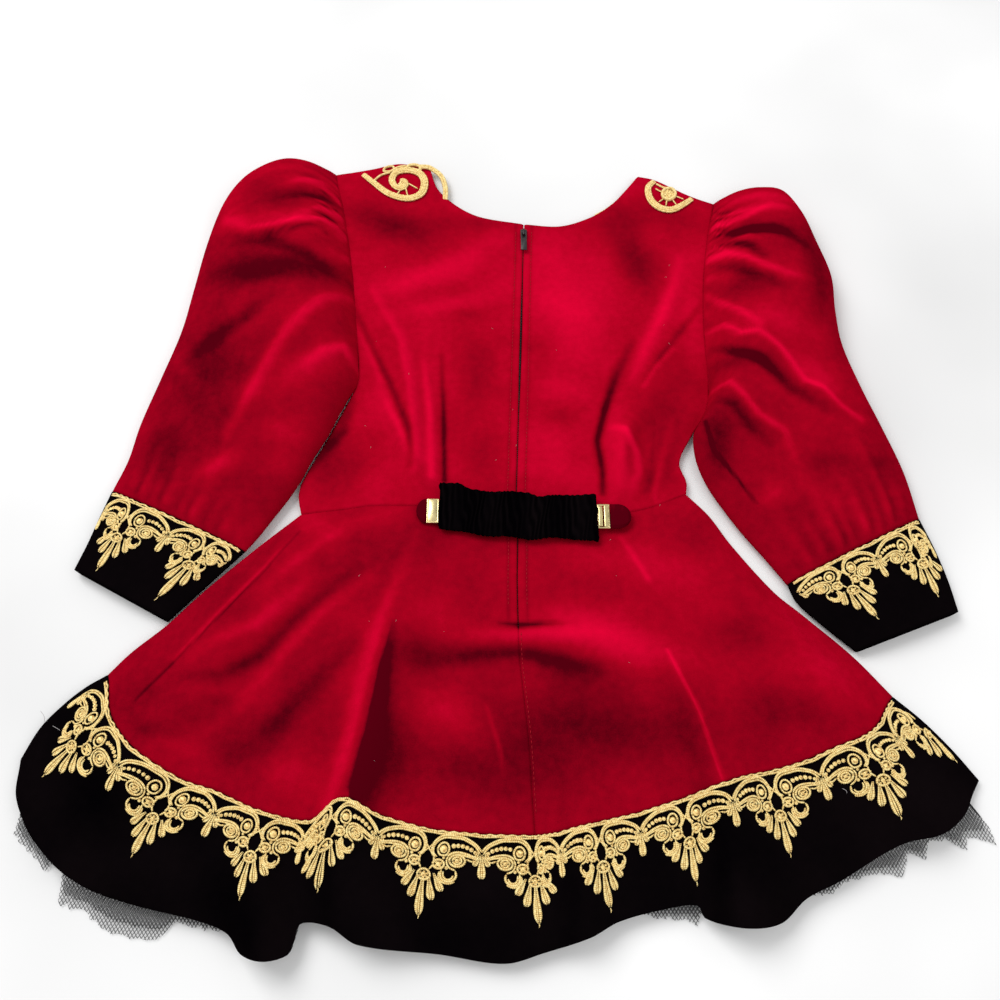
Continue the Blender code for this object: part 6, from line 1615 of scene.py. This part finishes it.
# The beaded middle of each applique: its place, and rings of (radius, number of beads)
ROSETTES = {
    "left": ((-83.6, 603.0), [(0.0, 1), (2.0, 6)]),
    "right": ((142.8, 591.6), [(0.0, 1), (2.1, 6), (4.0, 11)]),
}


def rosette(heap, centre, rings):
    for ring, count in rings:
        for index in range(count):
            turn = 2 * math.pi * index / count
            x, y = centre[0] + ring * math.cos(turn), centre[1] + ring * math.sin(turn)
            heap.bead(np.array([x, y, back_height(x, y) + ROSETTE_LIFT]), np.array(UPWARD), ROSETTE_BEAD)


def loose_loop(heap):
    """Two strands side by side from the left applique to under the neck edge."""
    path = smooth_path(LOOSE_LOOP, CORD_STEP)
    shares, heights = np.array(LOOP_HEIGHTS).T
    stops = np.minimum(shares * len(path), len(path) - 1)
    height = np.interp(np.arange(len(path)), stops, heights)
    for lane in (-LOOP_SPREAD, LOOP_SPREAD):
        heap.tube(np.column_stack([path + crosswise(path) * lane, height]), UPWARD, LOOP_RADIUS, CORD_SIDES)


def neck_trim(heap):
    path = smooth_path(NECK_TRIM, 1.0)
    heap.tube(np.column_stack([path, np.full(len(path), NECK_TRIM_HEIGHT)]), UPWARD, NECK_TRIM_RADIUS)


def appliques():
    for side, rows, last_part in (("left", LEFT_APPLIQUE, loose_loop), ("right", RIGHT_APPLIQUE, neck_trim)):
        heap = Heap()
        for points, radius in rows:
            corded(heap, points, radius)
        rosette(heap, *ROSETTES[side])
        last_part(heap)
        heap.make("applique_" + side + "_gold", GOLD, "applique_" + side, "gold_lace")


# The back belt
BELT_ENDS = (-43.5, 69.5)
BELT_TOP = [(-43.5, 317.5), (-30, 317), (-22, 311.5), (0, 310), (21, 309.5), (28, 306), (48, 307.5),
            (69.5, 307.5)]
BELT_BOTTOM = [(-43.5, 281), (-32, 279.5), (-17, 276), (4, 274.5), (20, 272.5), (36, 273.5), (51, 273),
               (69.5, 270.5)]
BELT_RUCHES = 27
BELT_COLUMNS = 340
BELT_ROWS = 44
# Sines over the belt: size, pace along it, pace across it, start
RUCHE_WANDER = [(0.35, 17, 2.1, 0.0), (0.22, 43, 5.0, 0.0), (0.16, 60, 9, 0.0)]
RUCHE_DEPTH = [(0.25, 31, 0, 1.0), (0.15, 74, 3, 0.0)]
BELT_NAP_SINE = [(0.15, 23, 0, 0.0)]
FRILL = 0.22
BELT_BASE = 1.4             # heights above the belt's underside, and above each other
BELT_BODY = 1.3
RUCHE_HEIGHT = 1.5
CHANNEL_HEIGHT = 0.25       # of the rows of stitching along the belt
CHANNELS = 3
BELT_END_DROP = 0.9
BELT_END_ROLL = 1.5
BELT_EDGE_ROLL = 3.0
BELT_EDGE_SHARE = 0.4       # of its height that stays at the edge


def sines(rows, along, across):
    return sum(size * np.sin(along * pace + across * cross_pace + start)
               for size, pace, cross_pace, start in rows)


def belt_y(x, down):
    """A plan y on the belt at a share down from its top edge to its bottom edge."""
    top, bottom = np.array(BELT_TOP, float), np.array(BELT_BOTTOM, float)
    return between(np.interp(x, top[:, 0], top[:, 1]), np.interp(x, bottom[:, 0], bottom[:, 1]), down)


def belt():
    """The elastic belt: velvet gathered in fine uneven ruches, frilled along both edges."""
    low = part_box("belt")[0].z / MM
    down, along = np.meshgrid(np.linspace(0, 1, BELT_ROWS), np.linspace(0, 1, BELT_COLUMNS), indexing="ij")
    x = between(*BELT_ENDS, along)
    phase = 2 * math.pi * (along * BELT_RUCHES + sines(RUCHE_WANDER, along, down))
    ruche = 0.5 + 0.5 * np.cos(phase)
    depth = 0.6 + sines(RUCHE_DEPTH, along, down)
    frill = np.sin(phase + 0.6) * (np.abs(down - 0.5) * 2) ** 3
    y = belt_y(x, down) + FRILL * frill + 0.5 * np.sin(x * 0.21)
    from_edge = np.minimum(down, 1 - down) * (BELT_TOP[0][1] - BELT_BOTTOM[0][1])
    from_end = np.minimum(along, 1 - along) * (BELT_ENDS[1] - BELT_ENDS[0])
    soft = between(BELT_EDGE_SHARE, 1.0, ease(from_edge / BELT_EDGE_ROLL))
    channel = CHANNEL_HEIGHT * np.cos(2 * math.pi * CHANNELS * down)
    z = (low + BELT_BASE + soft * (BELT_BODY + RUCHE_HEIGHT * ruche * depth + channel)
         - BELT_END_DROP * np.exp(-(from_end / BELT_END_ROLL) ** 2))
    # Painted light on the ruches' crests and painted shade in the hollows between them
    nap_and_shading = (ruche - 0.5) * 0.6 * depth - 0.25 + sines(BELT_NAP_SINE, along, down)
    shell("belt_velvet", np.dstack([x, y, z]), nap_and_shading, BLACK, "belt", "black_velvet")


def rounded_box(name, low, high, radius, material, node=None, slot=None, body="dress", window=None):
    """A box between two corners in millimetres of the frame, bevelled, with a window cut through."""
    low, high = np.array(low, float), np.array(high, float)
    corners = [(x, y, z) for x in (low[0], high[0]) for y in (low[1], high[1]) for z in (low[2], high[2])]
    faces = [(0, 1, 3, 2), (4, 6, 7, 5), (0, 4, 5, 1), (2, 3, 7, 6), (0, 2, 6, 4), (1, 5, 7, 3)]
    if window:
        left, right, bottom, top = window
        outline = [(low[0], low[1]), (high[0], low[1]), (high[0], high[1]), (low[0], high[1])]
        hole = [(left, bottom), (right, bottom), (right, top), (left, top)]
        corners = [(*point, level) for level in (low[2], high[2]) for point in outline + hole]
        faces = []
        for index in range(4):
            after = (index + 1) % 4
            faces.append((index, 4 + index, 4 + after, after))
            faces.append((8 + index, 8 + after, 12 + after, 12 + index))
            faces.append((index, after, 8 + after, 8 + index))
            faces.append((4 + index, 12 + index, 12 + after, 4 + after))
    made = make_object(name, np.array(corners) * MM, faces, material, node, slot, body)
    bevel = made.modifiers.new("bevel", "BEVEL")
    bevel.width = radius * MM
    bevel.segments = 3
    bevel.limit_method = "ANGLE"
    return made


CLIP_WIRE = 1.3
CLIP_INSET = 0.35
# What each clip's frame holds: name, from and to as shares of its width, free rim at both ends
CLIP_BARS = {
    "left": [("plate", 0.14, 0.86, 0.9)],
    "right": [("hook", 0.08, 0.42, 1.7), ("bar", 0.52, 0.90, 0.9)],
}
CLIP_BAR_THICKNESS = 1.5


def box_of(name):
    """Both corners of a piece's box, in millimetres of the frame."""
    return [np.array(corner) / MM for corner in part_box(name)]


def clips_and_tabs():
    """A frame of wire at each end of the belt, with its plate or its two bars, and a velvet tab."""
    for side, turn in (("left", -1), ("right", 1)):
        low, high = box_of("belt_clip_" + side)
        window = (low[0] + CLIP_WIRE, high[0] - CLIP_WIRE, low[1] + CLIP_WIRE, high[1] - CLIP_WIRE)
        rounded_box("belt_clip_" + side + "_metal", low, high - (0, 0, CLIP_INSET), 0.5, METAL,
                    "belt_clip_" + side, "gold_metal", window=window)
        for name, first, last, rim in CLIP_BARS[side]:
            rounded_box("belt_clip_" + side + "_" + name,
                        (between(low[0], high[0], first), low[1] + rim, high[2] - CLIP_BAR_THICKNESS),
                        (between(low[0], high[0], last), high[1] - rim, high[2]), 0.6, METAL,
                        slot="gold_metal")
        tab(side, turn, *box_of("belt_tab_" + side))


TAB_NAP = -0.62
TAB_POINTS = 26
TAB_WALL = 0.9


def tab(side, turn, low, high):
    """A soft velvet tab, rounded at its free end and a little domed."""
    half = (high[1] - low[1]) / 2
    middle = (high[1] + low[1]) / 2
    length = high[0] - low[0]
    start = low[0] if turn > 0 else high[0]
    along, over = np.meshgrid(np.linspace(0, 1, TAB_POINTS), np.linspace(-1, 1, TAB_POINTS), indexing="ij")
    bend = min(half, length)
    from_end = length * (1 - along)
    narrow = np.where(from_end < bend, np.sqrt(np.clip(1 - ((bend - from_end) / bend) ** 2, 0.0004, 1)), 1.0)
    x = start + turn * length * along
    y = middle + half * over * narrow
    rim = np.minimum(1 - np.abs(over), (1 - along) * 1.6)
    z = low[2] + TAB_WALL + (high[2] - low[2] - 0.7) * ease(rim / 0.3)
    points = np.dstack([x, y, z]) + (*PLAN_CENTRE, 0.0)
    nap_and_shading = TAB_NAP + 0.12 * over + 0.06 * np.sin(x * 0.9)
    shell("belt_tab_" + side + "_velvet", points, nap_and_shading, RED, "belt_tab_" + side, "red_velvet",
          thickness=TAB_WALL)


def centre_x(y):
    """The slit's x at a y, on the bodice or on the skirt."""
    bodice = LINES["centre back"].at(np.linspace(1, 0, 200))
    skirt = skirt_plan(np.full(200, 0.5), np.linspace(0, 1, 200))
    line = np.concatenate([bodice, skirt])[::-1]
    return np.interp(y, line[:, 1], line[:, 0])


TAPE_HALF_WIDTH = 10.8
TAPE_COLUMNS = 15
TAPE_ROWS = 150
TAPE_ENDS = (SLIDER_Y + 3.6, ZIP_END_Y - 5.6)
TAPE_WALL = 0.6
TAPE_BELOW = 0.75       # under the cloth that it is sewn to, with the gap between them
TAPE_FLOOR = 0.85       # above the underside of its box
TAPE_EDGE = (9.0, 0.3)  # how far from the middle the edge dips, and by how much
COIL_PITCH = 1.6
COIL_STEPS = 8          # points in each turn
COIL_WIDTH = 0.75
COIL_HEIGHT = 0.5
COIL_LIFT = 0.75
COIL_RADIUS = 0.28
BRIDGE_HALF_WIDTH = 0.75
BRIDGE_INSET = 1.5
BRIDGE_THICKNESS = 0.85
SLIDER_FACE = 0.40      # height of the slider's face as a share of its box
PULL_RIM = 1.25
PULL_WINDOW = (6.0, 1.15)       # from and to below the pull's top end


def zip_tape(y, x):
    """The woven tape under the slit, and its level along the zip."""
    low, high = box_of("zip_tape")
    outer = back_height(x, y)
    level = np.minimum(outer, np.roll(outer, 1)) - CAD_WALL - TAPE_BELOW
    level = np.clip(level, low[2] + TAPE_FLOOR, high[2])
    offsets, _ = np.meshgrid(np.linspace(-TAPE_HALF_WIDTH, TAPE_HALF_WIDTH, TAPE_COLUMNS), y)
    dip = TAPE_EDGE[1] * (np.abs(offsets) > TAPE_EDGE[0])
    points = np.dstack([x[:, None] + offsets, y[:, None] + 0 * offsets, level[:, None] - dip])
    shell("zip_tape_woven", points, 0 * dip, TAPE, "zip_tape", "black_plastic", thickness=TAPE_WALL)
    return level


def zip_coil(y, level):
    turns = np.arange(0, (y[0] - y[-1]) / COIL_PITCH, 1 / COIL_STEPS)
    coil_y = y[0] - turns * COIL_PITCH
    coil_x = centre_x(coil_y) + COIL_WIDTH * np.cos(turns * 2 * math.pi)
    coil_z = np.interp(coil_y, y[::-1], level[::-1]) + COIL_LIFT + COIL_HEIGHT * np.sin(turns * 2 * math.pi)
    coil = Heap()
    coil.tube(np.column_stack([coil_x, coil_y, coil_z]), (0.0, 1.0, 0.0), COIL_RADIUS, 4)
    coil.make("zip_coil", PLASTIC, slot="black_plastic")


def zip_slider():
    """The slider's body and the bridge on two posts that holds the pull."""
    low, high = box_of("zip_slider")
    face = between(low[2], high[2], SLIDER_FACE)
    rounded_box("zip_slider_body", (low[0], low[1], face - 0.6), (high[0], high[1], face + 1.3), 0.7,
                PLASTIC, "zip_slider", "black_plastic")
    middle = (low[0] + high[0]) / 2
    left, right = middle - BRIDGE_HALF_WIDTH, middle + BRIDGE_HALF_WIDTH
    foot, head = low[1] + BRIDGE_INSET, high[1] - BRIDGE_INSET
    rounded_box("zip_slider_bridge", (left, foot, high[2] - BRIDGE_THICKNESS), (right, head, high[2]), 0.35,
                PLASTIC, slot="black_plastic")
    for number, start in enumerate((foot, head - BRIDGE_THICKNESS)):
        rounded_box("zip_slider_post_%d" % number, (left, start, face + 1.0),
                    (right, start + BRIDGE_THICKNESS, high[2] - 0.4), 0.2, PLASTIC, slot="black_plastic")


def zip_pull():
    low, high = box_of("zip_pull")
    window = (low[0] + PULL_RIM, high[0] - PULL_RIM, high[1] - PULL_WINDOW[0], high[1] - PULL_WINDOW[1])
    rounded_box("zip_pull_plate", low, high, 0.45, PLASTIC, "zip_pull", "black_plastic", "pull", window)


def zip_parts():
    y = np.linspace(*TAPE_ENDS, TAPE_ROWS)
    level = zip_tape(y, centre_x(y))
    zip_coil(y, level)
    zip_slider()
    zip_pull()


# Sewing and loose threads

STITCH_RADIUS = 0.22
STITCH_ARC = np.array([0.0, 0.16, 0.16, 0.0])       # heights along one stitch
# Rows of stitches: from the slit, first y, last y, number of points, length, gap, lift
STITCH_ROWS = [
    (-STITCH_OFFSET, 552, 222, 24, 2.3, 0.8, 0.02), (STITCH_OFFSET, 552, 222, 24, 2.3, 0.8, 0.02),
    (1.6, 204, 84, 12, 2.4, 0.9, 0.0),
]
LINT_COUNT = 26
LINT_SEED = 11
LINT_X = (-120, 140)
LINT_Y = (110, 520)
LINT_SIZE = (0.7, 2.2)
# Loose threads: x, y, direction, length, height (None where it lies on the cloth)
LOOSE_THREADS = [(-294, 142, -0.6, 13, 6.6), (-304, 152, -1.1, 9, 6.6), (217, 101, -0.9, 4, None)]
THREAD_LIFT = 1.2
THREAD_BOW = 1.2


def stitches(heap, path, length, gap, lift):
    """A row of short stitches along a plan path on the back."""
    line = Line(path)
    for index in range(int(line.marks[-1] / (length + gap))):
        start = index * (length + gap) / line.marks[-1]
        plan = line.at(start + np.linspace(0, length, len(STITCH_ARC)) / line.marks[-1])
        heap.tube(*on_back(plan, lift + STITCH_ARC), STITCH_RADIUS, 5)


def sewing():
    heap = Heap()
    for offset, first_y, last_y, count, length, gap, lift in STITCH_ROWS:
        y = np.linspace(first_y, last_y, count)
        stitches(heap, np.column_stack([centre_x(y) + offset, y]), length, gap, lift)
    heap.make("seam_stitches", RED_THREAD, slot="red_velvet")


def lint_and_threads():
    heap = Heap()
    dice = random.Random(LINT_SEED)
    for _ in range(LINT_COUNT):
        x, y = dice.uniform(*LINT_X), dice.uniform(*LINT_Y)
        turn, size = dice.uniform(0, math.pi), dice.uniform(*LINT_SIZE)
        path = [(x + size * share * math.cos(turn + share), y + size * share * math.sin(turn + share))
                for share in np.linspace(0, 1, 5)]
        heap.tube(*on_back(path, 0.12), 0.07, 4)
    for x, y, turn, size, height in LOOSE_THREADS:
        run, rise = size * math.cos(turn), size * math.sin(turn)
        path = smooth_path([(x, y), (x + run / 2 + THREAD_BOW, y + rise / 2), (x + run, y + rise)], 1.0)
        level = back_height(x, y) + THREAD_LIFT if height is None else height
        heap.tube(np.column_stack([path, np.full(len(path), level)]), UPWARD, 0.16, 5)
    heap.make("lint_and_threads", LINT, slot="black_net")


# Camera, floor and light

def camera():
    data = bpy.data.cameras.new("camera")
    data.lens = LENS
    data.sensor_width = SENSOR
    data.clip_start = NEAR_CLIP
    made = bpy.data.objects.new("camera", data)
    made.location = (-PLAN_CENTRE[0] * MM, (CAMERA_PLAN_Y - PLAN_CENTRE[1]) * MM, CAMERA_HEIGHT)
    made.rotation_euler = (CAMERA_TILT, 0, 0)
    bpy.context.scene.collection.objects.link(made)
    bpy.context.scene.camera = made


def area_light(name, location, size, power):
    data = bpy.data.lights.new(name, "AREA")
    data.energy = power
    data.size = size
    made = bpy.data.objects.new(name, data)
    made.location = location
    made.rotation_euler = (-Vector(location)).to_track_quat("-Z", "Y").to_euler()
    bpy.context.scene.collection.objects.link(made)


def studio():
    scene = bpy.context.scene
    scene.view_settings.view_transform = "Standard"
    scene.view_settings.look = "None"
    world = bpy.data.worlds.new("studio")
    scene.world = world
    world.use_nodes = True
    world.node_tree.nodes["Background"].inputs["Color"].default_value = (1, 1, 1, 1)
    world.node_tree.nodes["Background"].inputs["Strength"].default_value = WORLD_STRENGTH
    area_light("key", (-1.3, 1.1, 2.0), 1.6, KEY_POWER)
    area_light("fill", (1.6, -0.8, 1.8), 2.0, FILL_POWER)
    half = FLOOR_SIZE / 2
    mesh = bpy.data.meshes.new("floor")
    corners = [(-half, -half, 0), (half, -half, 0), (half, half, 0), (-half, half, 0)]
    mesh.from_pydata(corners, [], [(0, 1, 2, 3)])
    mesh.materials.append(plain("floor", FLOOR_COLOUR, 0.9, 0.0, 2, 0.1))
    floor = bpy.data.objects.new("floor", mesh)
    floor.location.z = FLOOR_LEVEL
    scene.collection.objects.link(floor)


camera()
studio()
back_skirt()
back_band()
back_bodice()
fronts()
petticoat()
sleeves_and_cuffs()
hem_lace()
cuff_lace("left", LEFT_CUFF, LEFT_CUFF_MARKS)
cuff_lace("right", RIGHT_CUFF, RIGHT_CUFF_MARKS)
appliques()
belt()
clips_and_tabs()
zip_parts()
sewing()
lint_and_threads()
